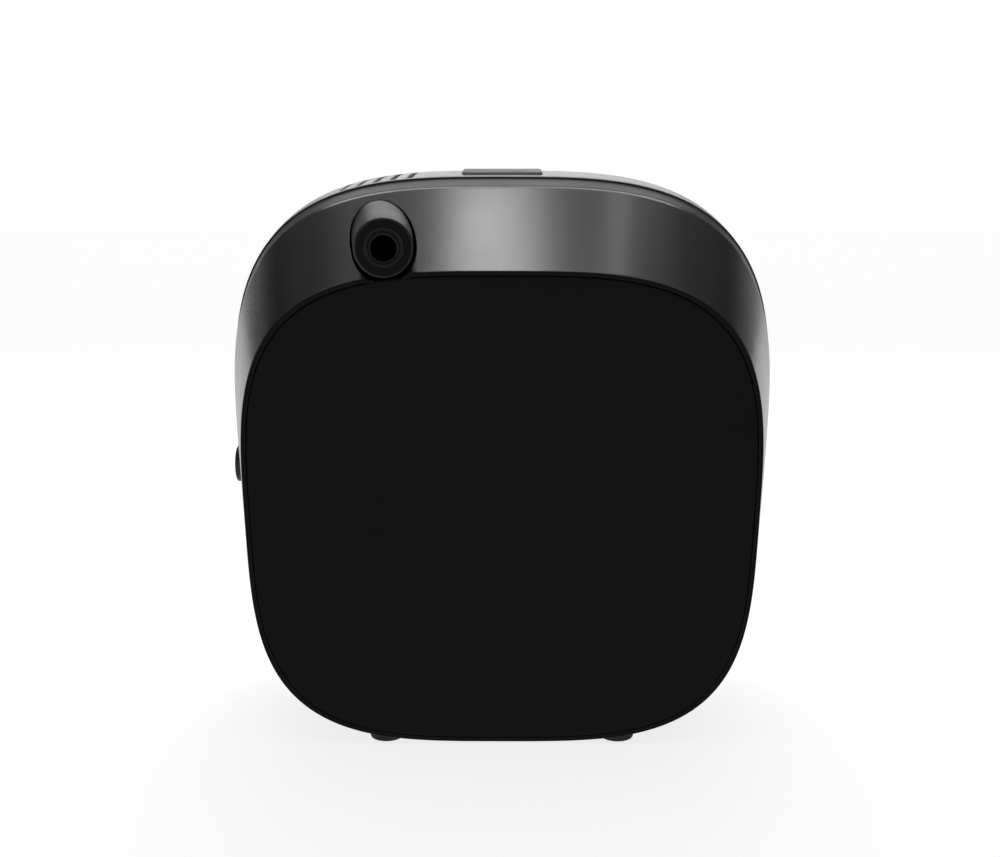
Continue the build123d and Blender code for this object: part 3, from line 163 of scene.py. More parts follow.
def moulded(name, colour, roughness, grain=0.45, depth=0.02, tint=0.12, specular=0.5, scuff=0.12):
    """Injection-moulded plastic: spark-eroded grain, soft colour drift and rubbed patches.

    grain is the grain's size in millimetres and depth its height.
    """
    nodes = Nodes(name)
    drift = nodes.noise(9.0, 3.0)
    fine = nodes.noise(1000.0 / grain, 2.0, 0.6)
    pale = tuple(min(1.0, value * (1 + tint)) for value in colour)
    deep = tuple(value * (1 - tint) for value in colour)
    tone = nodes.blend(nodes.spread(drift, 0.35, 0.65, 0.0, 1.0), deep, pale)
    speck = tuple(min(1.0, value * (1 + 2.2 * tint)) for value in colour)
    nodes.link(nodes.blend(nodes.spread(fine, 0.5, 0.78, 0.0, 0.7), tone, speck),
               nodes.shader.inputs["Base Color"])
    rubbed = nodes.noise(18.0, 3.0, 0.5)
    nodes.link(nodes.spread(rubbed, 0.3, 0.75, roughness * (1 - scuff), roughness * (1 + scuff)),
               nodes.shader.inputs["Roughness"])
    nodes.shader.inputs["Specular IOR Level"].default_value = specular
    nodes.bump((fine, depth * MM, 1.0), (nodes.noise(14.0, 2.0), 0.02 * MM, 0.2))
    return nodes.material


def metal(name, colour, roughness, stretch=(1.0, 1.0, 40.0), tarnish=0.25):
    """Turned or drawn metal: fine directional scratches, duller patches and faint staining."""
    nodes = Nodes(name)
    lines = nodes.noise(900.0, 2.0, 0.6, stretch=stretch)
    stain = nodes.noise(45.0, 4.0, 0.6)
    dark = tuple(value * (1 - tarnish) for value in colour)
    nodes.link(nodes.blend(nodes.spread(stain, 0.35, 0.7, 0.0, 1.0), colour, dark),
               nodes.shader.inputs["Base Color"])
    nodes.shader.inputs["Metallic"].default_value = 1.0
    nodes.link(nodes.spread(stain, 0.3, 0.7, roughness * 0.75, roughness * 1.35),
               nodes.shader.inputs["Roughness"])
    nodes.bump((lines, 0.012 * MM, 0.6))
    return nodes.material


def rubber(name, colour, roughness, pitch=1.4):
    """Moulded rubber: dusty bloom over a pebbled skin."""
    nodes = Nodes(name)
    bloom = nodes.noise(35.0, 4.0, 0.6)
    dusty = tuple(min(1.0, value * 1.9 + 0.012) for value in colour)
    nodes.link(nodes.blend(nodes.spread(bloom, 0.45, 0.8, 0.0, 0.6), colour, dusty),
               nodes.shader.inputs["Base Color"])
    nodes.link(nodes.spread(bloom, 0.3, 0.7, roughness * 0.9, min(1.0, roughness * 1.15)),
               nodes.shader.inputs["Roughness"])
    nodes.shader.inputs["Specular IOR Level"].default_value = 0.35
    nodes.bump((nodes.cells(1000.0 / pitch), 0.05 * MM, 0.5), (nodes.noise(3200.0), 0.02 * MM, 0.4))
    return nodes.material


def woven(name, colour):
    """Webbing: crossed threads from two wave patterns."""
    nodes = Nodes(name)
    threads = []
    for direction in ("X", "Y"):
        wave = nodes.tree.nodes.new("ShaderNodeTexWave")
        wave.bands_direction = direction
        wave.inputs["Scale"].default_value = 420.0
        wave.inputs["Distortion"].default_value = 0.6
        nodes.link(nodes.place, wave.inputs["Vector"])
        threads.append(wave.outputs["Fac"])
    crossed = nodes.tree.nodes.new("ShaderNodeMath")
    crossed.operation = "MULTIPLY"
    nodes.link(threads[0], crossed.inputs[0])
    nodes.link(threads[1], crossed.inputs[1])
    pale = tuple(min(1.0, value * 1.8) for value in colour)
    nodes.link(nodes.blend(crossed.outputs[0], colour, pale), nodes.shader.inputs["Base Color"])
    nodes.link(nodes.spread(nodes.noise(60.0), 0.3, 0.7, 0.75, 0.95), nodes.shader.inputs["Roughness"])
    nodes.bump((crossed.outputs[0], 0.15 * MM, 0.8))
    return nodes.material


def circuit(name, colour):
    """Printed board: solder mask over a network of faint tracks."""
    nodes = Nodes(name)
    tracks = nodes.spread(nodes.cells(260.0, "DISTANCE_TO_EDGE"), 0.03, 0.07, 1.0, 0.0)
    track = tuple(value * 1.7 + 0.01 for value in colour)
    nodes.link(nodes.blend(tracks, colour, track), nodes.shader.inputs["Base Color"])
    nodes.link(nodes.spread(nodes.noise(80.0), 0.3, 0.7, 0.28, 0.42), nodes.shader.inputs["Roughness"])
    nodes.bump((tracks, 0.03 * MM, 0.7))
    return nodes.material


def lens(name, colour):
    """Clear tinted light pipe."""
    nodes = Nodes(name)
    haze = nodes.noise(200.0)
    deeper = tuple(0.8 * value for value in colour)
    nodes.link(nodes.blend(nodes.spread(haze, 0.3, 0.7, 0.0, 1.0), colour, deeper),
               nodes.shader.inputs["Base Color"])
    nodes.link(nodes.spread(haze, 0.3, 0.7, 0.12, 0.2), nodes.shader.inputs["Roughness"])
    nodes.bump((haze, 0.01 * MM, 0.3))
    return nodes.material


MATERIALS = {
    "satin_black_shell": moulded("satin_black_shell", (0.0115, 0.0117, 0.0135), 0.26, grain=0.8, depth=0.034,
                                 tint=0.1, specular=0.6, scuff=0.06),
    "matt_black_plate": moulded("matt_black_plate", (0.0056, 0.0057, 0.0055), 0.74, grain=0.6, depth=0.03,
                                specular=0.05),
    "grey_trim": moulded("grey_trim", (0.074, 0.074, 0.076), 0.42, grain=0.4, depth=0.008,
                         tint=0.04, specular=0.35),
    "white_shell": moulded("white_shell", (0.66, 0.66, 0.665), 0.38, grain=0.5, depth=0.006, tint=0.015),
    "black_rubber": rubber("black_rubber", (0.012, 0.012, 0.012), 0.75),
    "dark_plastic": moulded("dark_plastic", (0.010, 0.010, 0.011), 0.46, grain=0.6, depth=0.012,
                            specular=0.3),
    "button_grey": moulded("button_grey", (0.115, 0.115, 0.12), 0.45, grain=0.4, depth=0.01, tint=0.06),
    "steel": metal("steel", (0.60, 0.60, 0.61), 0.28),
    "zinc_steel": metal("zinc_steel", (0.62, 0.63, 0.66), 0.36, stretch=(1.0, 30.0, 1.0), tarnish=0.15),
    "motor_can": metal("motor_can", (0.36, 0.36, 0.37), 0.34),
    "brass": metal("brass", (0.78, 0.58, 0.28), 0.30),
    "white_nylon": moulded("white_nylon", (0.70, 0.69, 0.65), 0.48, grain=0.8, depth=0.01, tint=0.03),
    "circuit_green": circuit("circuit_green", (0.010, 0.085, 0.035)),
    "component_black": moulded("component_black", (0.02, 0.02, 0.022), 0.55, grain=0.3, depth=0.01),
    "battery_blue": moulded("battery_blue", (0.015, 0.075, 0.30), 0.32, grain=2.0, depth=0.03, tint=0.08),
    "strap_black": woven("strap_black", (0.015, 0.015, 0.017)),
    "wheel_grey": moulded("wheel_grey", (0.22, 0.22, 0.225), 0.45, grain=0.6, depth=0.012, tint=0.06),
    "tread_rubber": rubber("tread_rubber", (0.022, 0.021, 0.020), 0.8, pitch=2.2),
    "light_lens": lens("light_lens", (0.55, 0.62, 0.60)),
}

node_slots = {subpart["node"]: subpart["material_slot"] for subpart in frame["record"]["subparts"]}
for node_name, node in frame["nodes"].items():
    node.data.materials.clear()
    node.data.materials.append(MATERIALS[node_slots[node_name]])


# ------------------------------------------------------------------ mesh helpers
def finish_mesh(mesh_data, name, smooth_angle=40.0):
    """Turn a bmesh into a smooth-shaded object whose faces point outwards."""
    bmesh.ops.recalc_face_normals(mesh_data, faces=mesh_data.faces)
    mesh = bpy.data.meshes.new(name)
    mesh_data.to_mesh(mesh)
    mesh_data.free()
    shade(mesh, smooth_angle)
    piece = bpy.data.objects.new(name, mesh)
    bpy.context.scene.collection.objects.link(piece)
    return piece


def shade(mesh, smooth_angle):
    mesh.shade_smooth()
    mesh.set_sharp_from_angle(angle=radians(smooth_angle))


def skin(mesh_data, rings, joined=False, capped=True):
    """Quads between successive closed rings of points. Joined links the last ring to the first."""
    grid = [[mesh_data.verts.new(point) for point in ring] for ring in rings]
    count = len(rings[0])
    pairs = list(zip(grid, grid[1:])) + ([(grid[-1], grid[0])] if joined else [])
    for lower, upper in pairs:
        for step in range(count):
            after = (step + 1) % count
            mesh_data.faces.new((lower[step], lower[after], upper[after], upper[step]))
    if capped and not joined:
        mesh_data.faces.new(list(reversed(grid[0])))
        mesh_data.faces.new(grid[-1])


def solid(name, rings, joined=False, smooth_angle=40.0):
    mesh_data = bmesh.new()
    skin(mesh_data, rings, joined)
    return finish_mesh(mesh_data, name, smooth_angle)


def rounded_square(y, half, power, count=TURNS):
    """Points of the outline |x|^power + |z|^power = half^power at depth y."""
    ring = []
    for step in range(count):
        turn = 2 * pi * (step + 0.5) / count
        reach = half / (abs(cos(turn)) ** power + abs(sin(turn)) ** power) ** (1 / power)
        ring.append(at(reach * cos(turn), y, reach * sin(turn)))
    return ring


def outline_power(y):
    return REAR_POWER + (FRONT_POWER - REAR_POWER) * min(max(y, 0.0), BAND_DEPTH) / BAND_DEPTH


def square_profile(name, profile, joined=True, smooth_angle=40.0):
    """Solid ring or slab whose rounded-square section half widths follow a (y, half) profile."""
    rings = [rounded_square(y, half, outline_power(y)) for y, half in profile]
    return solid(name, rings, joined, smooth_angle)


def corner(centre, radius, start, end, steps=4):
    """Points of an arc in a (y, half) profile, angles in degrees."""
    points = []
    for step in range(steps + 1):
        turn = radians(start + (end - start) * step / steps)
        points.append((centre[0] + radius * cos(turn), centre[1] + radius * sin(turn)))
    return points


def lathe(name, centre, axis, profile, count=96, joined=False):
    """Solid of revolution from (distance along the axis, radius) points, in millimetres."""
    side = axis.orthogonal().normalized()
    other = axis.cross(side)
    rings = []
    for reach, radius in profile:
        rings.append([centre + (axis * reach + (side * cos(2 * pi * step / count)
                      + other * sin(2 * pi * step / count)) * radius) * MM for step in range(count)])
    return solid(name, rings, joined)


def prism(name, centre, x_axis, y_axis, outline, low, high):
    """Cutter with a flat outline in millimetres, from low to high along x_axis × y_axis."""
    rise = x_axis.cross(y_axis)
    rings = [[centre + (x_axis * u + y_axis * v + rise * level) * MM for u, v in outline]
             for level in (low, high)]
    return solid(name, rings)


def rounded_box(width, length, radius, steps=6):
    """Outline of a rectangle with round corners."""
    outline = []
    for index, (side_x, side_y) in enumerate(((1, 1), (-1, 1), (-1, -1), (1, -1))):
        for step in range(steps + 1):
            turn = pi / 2 * (index + step / steps)
            outline.append((side_x * (width / 2 - radius) + radius * cos(turn),
                            side_y * (length / 2 - radius) + radius * sin(turn)))
    return outline


def stadium(width, height, steps=40):
    """Outline of an upright slot with round ends."""
    radius = width / 2
    straight = height / 2 - radius
    outline = []
    for index, side in enumerate((1, -1)):
        for step in range(steps + 1):
            turn = pi * (index + step / steps)
            outline.append((radius * cos(turn), side * straight + radius * sin(turn)))
    return outline


def moved(outline, x, y, turn=0.0):
    return [(x + u * cos(turn) - v * sin(turn), y + u * sin(turn) + v * cos(turn)) for u, v in outline]


def combine(piece, operations, edge=0.45, smooth_angle=40.0):
    """Join shapes to a piece or cut them out of it, then round the sharp edges."""
    for other, operation in operations:
        modifier = piece.modifiers.new("combine", "BOOLEAN")
        modifier.object = other
        modifier.operation = operation
        modifier.solver = "EXACT"
    depsgraph = bpy.context.evaluated_depsgraph_get()
    mesh = bpy.data.meshes.new_from_object(piece.evaluated_get(depsgraph))
    piece.modifiers.clear()
    piece.data = mesh
    for other, _ in operations:
        bpy.data.objects.remove(other)
    mesh_data = bmesh.new()
    mesh_data.from_mesh(mesh)
    if edge:
        round_edges(mesh_data, edge * MM)
    mesh_data.to_mesh(mesh)
    mesh_data.free()
    shade(mesh, smooth_angle)


def round_edges(mesh_data, width, angle=38.0):
    """Bevel the edges sharper than an angle."""
    sharp = [edge for edge in mesh_data.edges if edge.calc_face_angle(0.0) > radians(angle)]
    rim = list({vertex for edge in sharp for vertex in edge.verts})
    bmesh.ops.remove_doubles(mesh_data, verts=rim, dist=width * 0.6)
    sharp = [edge for edge in mesh_data.edges if edge.calc_face_angle(0.0) > radians(angle)]
    bmesh.ops.bevel(mesh_data, geom=sharp, offset=width, segments=2, profile=0.5, affect="EDGES",
                    clamp_overlap=False)


def case_coordinates(place):
    """Millimetres across, along and up from the machine's axis."""
    offset = (place - ORIGIN) / MM
    return offset.dot(ACROSS), offset.dot(ALONG), offset.dot(UP)


def section_gradient(x, z, power):
    """Reach of a point in the rounded-square measure, and that measure's slopes across and up."""
    reach = (abs(x) ** power + abs(z) ** power) ** (1 / power)
    slope_x = copysign((abs(x) / reach) ** (power - 1), x)
    slope_z = copysign((abs(z) / reach) ** (power - 1), z)
    return reach, slope_x, slope_z


def flared_normal(half_at, low, high):
    """Normal of a flared skin whose half width is half_at(y), or None off that skin."""
    slope = (half_at(high) - half_at(low)) / (high - low)

    def normal_at(place):
        x, y, z = case_coordinates(place)
        reach, slope_x, slope_z = section_gradient(x, z, outline_power(y))
        if not low <= y <= high or abs(reach - half_at(y)) > SKIN_TOLERANCE:
            return None
        return (ACROSS * slope_x - ALONG * slope + UP * slope_z).normalized()

    return normal_at


def domed_normal(place):
    """Normal of the dome's outer skin, or None off that skin."""
    x, y, z = case_coordinates(place)
    share = max(0.0, (y - SEAM_END) / DOME_DEPTH)
    reach, slope_x, slope_z = section_gradient(x, z, FRONT_POWER)
    pull = DOME_POWER * (reach / DOME_HALF) ** (DOME_POWER - 1) / DOME_HALF
    push = DOME_POWER * share ** (DOME_POWER - 1) / DOME_DEPTH
    gradient = ACROSS * slope_x * pull + ALONG * push + UP * slope_z * pull
    excess = (reach / DOME_HALF) ** DOME_POWER + share ** DOME_POWER - 1
    if y < SEAM_END + 0.9 or abs(excess) / gradient.length > SKIN_TOLERANCE:
        return None
    return gradient.normalized()


def follow_skin(piece, normal_at):
    """Shade the face corners that lie on a formula skin with that skin's own normal."""
    mesh = piece.data
    normals = [corner_normal.vector.copy() for corner_normal in mesh.corner_normals]
    for polygon in mesh.polygons:
        for loop in polygon.loop_indices:
            normal = normal_at(mesh.vertices[mesh.loops[loop].vertex_index].co)
            if normal and normal.dot(polygon.normal) > 0.5:
                normals[loop] = normal
    mesh.normals_split_custom_set(normals)


def dress(piece, slot_name, body, *replaced):
    """Give a piece its material and slot and its body, and hide the CAD nodes it stands for."""
    piece.data.materials.clear()
    piece.data.materials.append(MATERIALS[slot_name])
    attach(piece, body)
    if replaced:
        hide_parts(*replaced)
    return piece


def repaint(piece, slot_name, chosen):
    """Give the faces that pass a test a second material."""
    piece.data.materials.append(MATERIALS[slot_name])
    for face in piece.data.polygons:
        if chosen(face):
            face.material_index = 1


# ------------------------------------------------------------------ back plate
plate_round = 0.9
plate_end = 3.0
plate_profile = [(0.0, half) for half in (1.0, 40.0, 80.0, 110.0)]
plate_profile += corner((plate_round, PLATE_HALF - plate_round), plate_round, 180, 90)
plate_profile += [(plate_end, half) for half in (PLATE_HALF, 110.0, 1.0)]
dress(square_profile("back_plate_skin", plate_profile, joined=False),
      "matt_black_plate", "housing", "back_plate")


# ------------------------------------------------------------------ rear housing
def band_half(y):
    return REAR_HALF + (BAND_HALF - REAR_HALF) * y / BAND_DEPTH


def band_form(inset):
    """Solid inside the flared housing, used to trim its bosses."""
    profile = [(y, band_half(y) - inset) for y in (LIP_ROUND, 30, 60, BAND_DEPTH)]
    return square_profile("band_form", profile, joined=False)


SPIGOT_REAR = BAND_HALF - 2.0
SPIGOT_FRONT = SEAM_HALF - 2.1
SPIGOT_END = 112.0
SPIGOT_WALL = 2.4
LIP_ROUND = 0.5
LEDGE_START = 3.2
LEDGE_END = 5.5

housing_profile = corner((LIP_ROUND, RECESS_HALF + LIP_ROUND), LIP_ROUND, 270, 180)
housing_profile += corner((LIP_ROUND, REAR_HALF - LIP_ROUND), LIP_ROUND, 180, 100)
housing_profile += [(y, band_half(y)) for y in (2, 6, 14, 26, 40, 54, 68, 80, 89, 95)]
housing_profile += corner((BAND_DEPTH - LIP_ROUND, BAND_HALF - LIP_ROUND), LIP_ROUND, 80, 0)
housing_profile += [(BAND_DEPTH, SPIGOT_REAR), (SPIGOT_END, SPIGOT_FRONT),
                    (SPIGOT_END, SPIGOT_FRONT - SPIGOT_WALL), (BAND_DEPTH, SPIGOT_REAR - SPIGOT_WALL)]
housing_profile += [(y, band_half(y) - WALL) for y in (80, 60, 40, 20, LEDGE_END)]
housing_profile += [(LEDGE_END, LEDGE_HALF), (LEDGE_START, LEDGE_HALF), (LEDGE_START, RECESS_HALF)]
rear_housing = square_profile("rear_housing_skin", housing_profile)

PORT_TILT = radians(-7.0)
PORT_YAW = radians(5.7)
port_axis = (ALONG * cos(PORT_TILT) + UP * sin(PORT_TILT)) * cos(PORT_YAW) - ACROSS * sin(PORT_YAW)
port_centre = at(-54.8, 2.0, 138.2)
PORT_RECESS = 16.2
RECESS_WALL = 2.4
PORT_LENGTH = 90.0
SIDE_BUTTON_Y = 78.0
SIDE_BUTTON_RADIUS = 10.0
LIGHT_PLACE = (62.0, -6.0)

recess_boss = lathe("recess_boss", port_centre, port_axis,
                    [(-8, PORT_RECESS + RECESS_WALL), (PORT_LENGTH + RECESS_WALL, PORT_RECESS + RECESS_WALL)])
combine(recess_boss, [(band_form(0.5), "INTERSECT")], edge=0)
recess = lathe("recess", port_centre, port_axis, [(-12, PORT_RECESS), (PORT_LENGTH, PORT_RECESS)], count=128)
button_hole = lathe("button_hole", at(-160, SIDE_BUTTON_Y, 0), ACROSS, [(0, SIDE_BUTTON_RADIUS + 0.4),
                                                                       (25, SIDE_BUTTON_RADIUS + 0.4)])
light_hole = lathe("light_hole", at(-160, *LIGHT_PLACE), ACROSS, [(0, 1.6), (25, 1.6)], count=32)
tripod_low, tripod_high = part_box("tripod_insert")
tripod_centre = (tripod_low + tripod_high) / 2
tripod_hole = lathe("tripod_hole", Vector((0, tripod_centre.y, -0.002)), Vector((0, 0, 1)),
                    [(0, 5.0), (20, 5.0)], 48)
combine(rear_housing, [(recess_boss, "UNION"), (recess, "DIFFERENCE"), (button_hole, "DIFFERENCE"),
                       (light_hole, "DIFFERENCE"), (tripod_hole, "DIFFERENCE")])
follow_skin(rear_housing, flared_normal(band_half, 1.0, BAND_DEPTH - LIP_ROUND))
dress(rear_housing, "satin_black_shell", "housing", "rear_housing")
repaint(rear_housing, "matt_black_plate", lambda face: face.normal.dot(ALONG) < -0.8
        and case_coordinates(face.center)[1] < LEDGE_START + 0.1)


# ------------------------------------------------------------------ trim ring and seal
SEAL_STEP = 0.45              # the dark seal stands this far above the trim ring's front edge


def trim_half(y):
    return BAND_HALF + (SEAM_HALF - SEAL_STEP - BAND_HALF) * (y - BAND_DEPTH) / (TRIM_END - BAND_DEPTH)


TRIM_GAP = 0.25
TRIM_ROUND = 0.25
trim_start = BAND_DEPTH + TRIM_GAP
trim_profile = corner((trim_start + TRIM_ROUND, trim_half(trim_start) - TRIM_ROUND), TRIM_ROUND, 180, 95)
trim_profile += [(y, trim_half(y)) for y in (100, 103, 107, 111)]
trim_profile += corner((TRIM_FRONT - TRIM_ROUND, trim_half(TRIM_FRONT) - TRIM_ROUND), TRIM_ROUND, 85, 0)
trim_profile += [(TRIM_FRONT, SPIGOT_FRONT + 0.3), (trim_start, SPIGOT_REAR + 0.3)]
dress(square_profile("trim_ring_skin", trim_profile), "grey_trim", "housing", "trim_ring")

SEAL_HALF = DOME_HALF
seal_profile = [(TRIM_FRONT, SEAL_HALF - 4.5), (TRIM_FRONT, SEAL_HALF - 0.2), (TRIM_FRONT + 0.4, SEAL_HALF),
                (DOME_REAR - 0.4, SEAL_HALF), (DOME_REAR, SEAL_HALF - 0.2), (DOME_REAR, SEAL_HALF - 4.5)]
dress(square_profile("seam_seal_skin", seal_profile), "black_rubber", "housing", "seam_seal")


# ------------------------------------------------------------------ charging socket
BARREL_RADIUS = 14.0
BARREL_ROUND = 1.3
BORE_RADIUS = 8.6
BORE_DEPTH = 24.0
SLEEVE_RADIUS = 8.5
SLEEVE_BORE = 6.2


def in_socket(face):
    """True for the flat end of the socket and for its bore."""
    offset = (face.center - port_centre) / MM
    reach = offset.dot(port_axis)
    radius = (offset - port_axis * reach).length
    return face.normal.dot(port_axis) < -0.97 or (radius < BORE_RADIUS + 0.1 and reach > 1.2)


barrel_profile = [(BORE_DEPTH, 0.05), (BORE_DEPTH, BORE_RADIUS), (0.5, BORE_RADIUS)]
barrel_profile += corner((0.5, BORE_RADIUS + 0.5), 0.5, 270, 180, 3)
barrel_profile += corner((BARREL_ROUND, BARREL_RADIUS - BARREL_ROUND), BARREL_ROUND, 180, 92, 6)
barrel_profile += [(30.0, 14.7), (60.0, 15.4), (PORT_LENGTH, PORT_RECESS - 0.1), (PORT_LENGTH, 0.05)]
socket_barrel = lathe("socket_barrel_skin", port_centre, port_axis, barrel_profile)
dress(socket_barrel, "dark_plastic", "housing", "socket_barrel")
repaint(socket_barrel, "matt_black_plate", in_socket)

sleeve_profile = [(20.0, 0.05), (20.0, SLEEVE_BORE), (0.9, SLEEVE_BORE)]
sleeve_profile += corner((0.45, SLEEVE_BORE + 0.45), 0.45, 290, 180, 3)
sleeve_profile += corner((0.45, SLEEVE_RADIUS - 0.45), 0.45, 180, 90, 3)
sleeve_profile += [(23.0, SLEEVE_RADIUS), (23.0, 0.05)]
socket_sleeve = lathe("socket_sleeve_skin", port_centre, port_axis, sleeve_profile)
dress(socket_sleeve, "dark_plastic", "housing", "socket_sleeve")
repaint(socket_sleeve, "matt_black_plate", in_socket)


# ------------------------------------------------------------------ front dome
def dome_scale(share):
    return (1 - share ** DOME_POWER) ** (1 / DOME_POWER)


def dome_share(x, z, half):
    """How far forward the dome's surface lies at a point, as a share of its depth."""
    reach = (abs(x) ** FRONT_POWER + abs(z) ** FRONT_POWER) ** (1 / FRONT_POWER) / half
    return dome_scale(min(reach, 1.0))


def dome_y(x, z, inset=0.0):
    return SEAM_END + (DOME_DEPTH - inset) * dome_share(x, z, DOME_HALF - inset)


def dome_profile(half, depth, turns):
    """(y, half) points of the dome's side, spread evenly round its curve."""
    profile = []
    for turn in turns:
        share = sin(turn) ** (2 / DOME_POWER)
        profile.append((SEAM_END + depth * share, half * cos(turn) ** (2 / DOME_POWER)))
    return profile


DOME_STEPS = 56
INNER_STEPS = 20
outer_turns = [pi / 2 * 0.985 * (step / DOME_STEPS) ** 1.25 for step in range(1, DOME_STEPS + 1)]
inner_turns = [pi / 2 * 0.985 * (step / INNER_STEPS) ** 1.25 for step in range(INNER_STEPS, 0, -1)]
DOME_LIP = 0.4
dome_rings = corner((DOME_REAR + DOME_LIP, DOME_HALF - DOME_LIP), DOME_LIP, 180, 100, 3)
dome_rings += dome_profile(DOME_HALF, DOME_DEPTH, outer_turns)
inner_rings = dome_profile(DOME_HALF - WALL, DOME_DEPTH - WALL, inner_turns) + [(DOME_REAR, DOME_HALF - WALL)]


def dome_ring(y, half):
    return rounded_square(y, half, FRONT_POWER)


dome_mesh = bmesh.new()
outer = [dome_ring(*entry) for entry in dome_rings]
inner = [dome_ring(*entry) for entry in inner_rings]
skin(dome_mesh, outer, capped=False)
skin(dome_mesh, inner, capped=False)
skin(dome_mesh, [inner[-1], outer[0]], capped=False)
for ring in (outer[-1], inner[0]):
    dome_mesh.faces.new([dome_mesh.verts.new(point) for point in ring])
bmesh.ops.remove_doubles(dome_mesh, verts=dome_mesh.verts, dist=0.001 * MM)
front_dome = finish_mesh(dome_mesh, "front_dome_skin")

OUTLET_WIDTH = 77.0
OUTLET_HEIGHT = 107.0
OUTLET_Z = -24.5
outlet_cut = prism("outlet_cut", at(0, 150, OUTLET_Z), ACROSS, UP,
                   stadium(OUTLET_WIDTH, OUTLET_HEIGHT), -80, 10)

INLET_RISE = radians(30.0)
inlet_axis = ALONG * cos(INLET_RISE) + UP * sin(INLET_RISE)
inlet_centre = at(0, 150, 66)
INLET_HOLE = 38.2
inlet_cut = lathe("inlet_cut", inlet_centre, inlet_axis, [(0, INLET_HOLE), (90, INLET_HOLE)], count=144)

HINGE = (179.6, 132.2)
KNUCKLE = 3.0
PIN = 1.2
knuckles = [lathe("knuckle", at(start, *HINGE), ACROSS, [(0, KNUCKLE), (9, KNUCKLE)], 48)
            for start in (-24, 15)]
knuckle_relief = lathe("knuckle_relief", at(-15, *HINGE), ACROSS,
                       [(0, KNUCKLE + 0.6), (30, KNUCKLE + 0.6)], 48)
pin_hole = lathe("pin_hole", at(-30, *HINGE), ACROSS, [(0, PIN + 0.02), (60, PIN + 0.02)], 32)

VENT_WIDTH = 3.3
VENT_LENGTH = 25
VENT_PITCH = 8.9
VENT_START = -49
VENT_Y = 130
vent_cuts = []
for vent in range(5):
    outline = moved(stadium(VENT_WIDTH, VENT_LENGTH, 8), VENT_START - VENT_PITCH * vent, VENT_Y,
                    radians(84 - 2 * vent) - pi / 2)
    vent_cuts.append(prism("vent", at(0, 0, 120), ACROSS, ALONG, outline, 0, 40))

BUTTON_Y = 126.5
BUTTON_WIDTH = 43.0
BUTTON_LENGTH = 12.5
window_outline = moved(rounded_box(BUTTON_WIDTH + 0.8, BUTTON_LENGTH + 0.8, 2.4), 0, BUTTON_Y)
window = prism("window", at(0, 0, 130), ACROSS, ALONG, window_outline, 0, 30)

combine(front_dome, [(outlet_cut, "DIFFERENCE"), (inlet_cut, "DIFFERENCE")]
        + [(knuckle, "UNION") for knuckle in knuckles]
        + [(knuckle_relief, "DIFFERENCE"), (pin_hole, "DIFFERENCE"), (window, "DIFFERENCE")]
        + [(cut, "DIFFERENCE") for cut in vent_cuts])
follow_skin(front_dome, domed_normal)
dress(front_dome, "white_shell", "housing", "front_dome")


# ------------------------------------------------------------------ inlet lid
LID_RADIUS = 37.6
LID_THICKNESS = 2.6
NOTCH_REACH = LID_RADIUS + 4.0
NOTCH_RADIUS = 8.5
LID_TURNS = 144


def lid_reach(turn):
    """Radius of the lid's outline, with the finger notch at its lower edge."""
    lean = turn + pi / 2
    across = NOTCH_REACH * abs(sin(lean))
    if cos(lean) > 0 and across < NOTCH_RADIUS:
        return min(LID_RADIUS, NOTCH_REACH * cos(lean) - sqrt(NOTCH_RADIUS ** 2 - across ** 2))
    return LID_RADIUS


def on_dome(u, v, inset):
    """Where a line along the inlet's axis, offset by u across and v up, meets the dome."""
    base = (0.0 + u, 150.0 - v * sin(INLET_RISE), 66.0 + v * cos(INLET_RISE))
    near, far = 0.0, 110.0
    for _ in range(36):
        reach = (near + far) / 2
        y, z = base[1] + reach * cos(INLET_RISE), base[2] + reach * sin(INLET_RISE)
        inside = y < dome_y(base[0], z, inset)
        near, far = (reach, far) if inside else (near, reach)
    return at(base[0], base[1] + near * cos(INLET_RISE), base[2] + near * sin(INLET_RISE))


def lid_ring(shrink, inset):
    ring = []
    for step in range(LID_TURNS):
        turn = 2 * pi * (step + 0.5) / LID_TURNS
        reach = (lid_reach(turn) - shrink[1]) * shrink[0]
        ring.append(on_dome(reach * cos(turn), reach * sin(turn), inset))
    return ring


lid_shares = (0.02, 0.25, 0.45, 0.62, 0.78, 0.9, 0.97)
lid_rings = [lid_ring((share, 0.0), 0.0) for share in lid_shares]
lid_rings += [lid_ring((1.0, 0.5), 0.03), lid_ring((1.0, 0.15), 0.15), lid_ring((1.0, 0.0), 0.5)]
lid_rings += [lid_ring((1.0, 0.0), LID_THICKNESS)]
lid_rings += [lid_ring((share, 0.0), LID_THICKNESS) for share in reversed(lid_shares)]
inlet_lid = solid("inlet_lid_skin", lid_rings)
lid_knuckle = lathe("lid_knuckle", at(-14.4, *HINGE), ACROSS, [(0, KNUCKLE), (28.8, KNUCKLE)], 48)
HINGE_SLOPE = radians(-51.3)
slope_along = ALONG * cos(HINGE_SLOPE) + UP * sin(HINGE_SLOPE)
slope_up = UP * cos(HINGE_SLOPE) - ALONG * sin(HINGE_SLOPE)
ARM = ((0, 2.8), (5, 1.2), (12, -1.2), (12, -3.6), (5, -3.6), (5, -1.7), (0, -1.7))
lid_arm = prism("lid_arm", at(12, *HINGE), slope_along, slope_up, ARM, -24, 0)
lid_pin_hole = lathe("lid_pin_hole", at(-20, *HINGE), ACROSS, [(0, PIN + 0.05), (40, PIN + 0.05)], 32)
combine(inlet_lid, [(lid_knuckle, "UNION"), (lid_arm, "UNION"), (lid_pin_hole, "DIFFERENCE")], edge=0.3)
follow_skin(inlet_lid, domed_normal)
dress(inlet_lid, "white_shell", "lid", "inlet_lid")


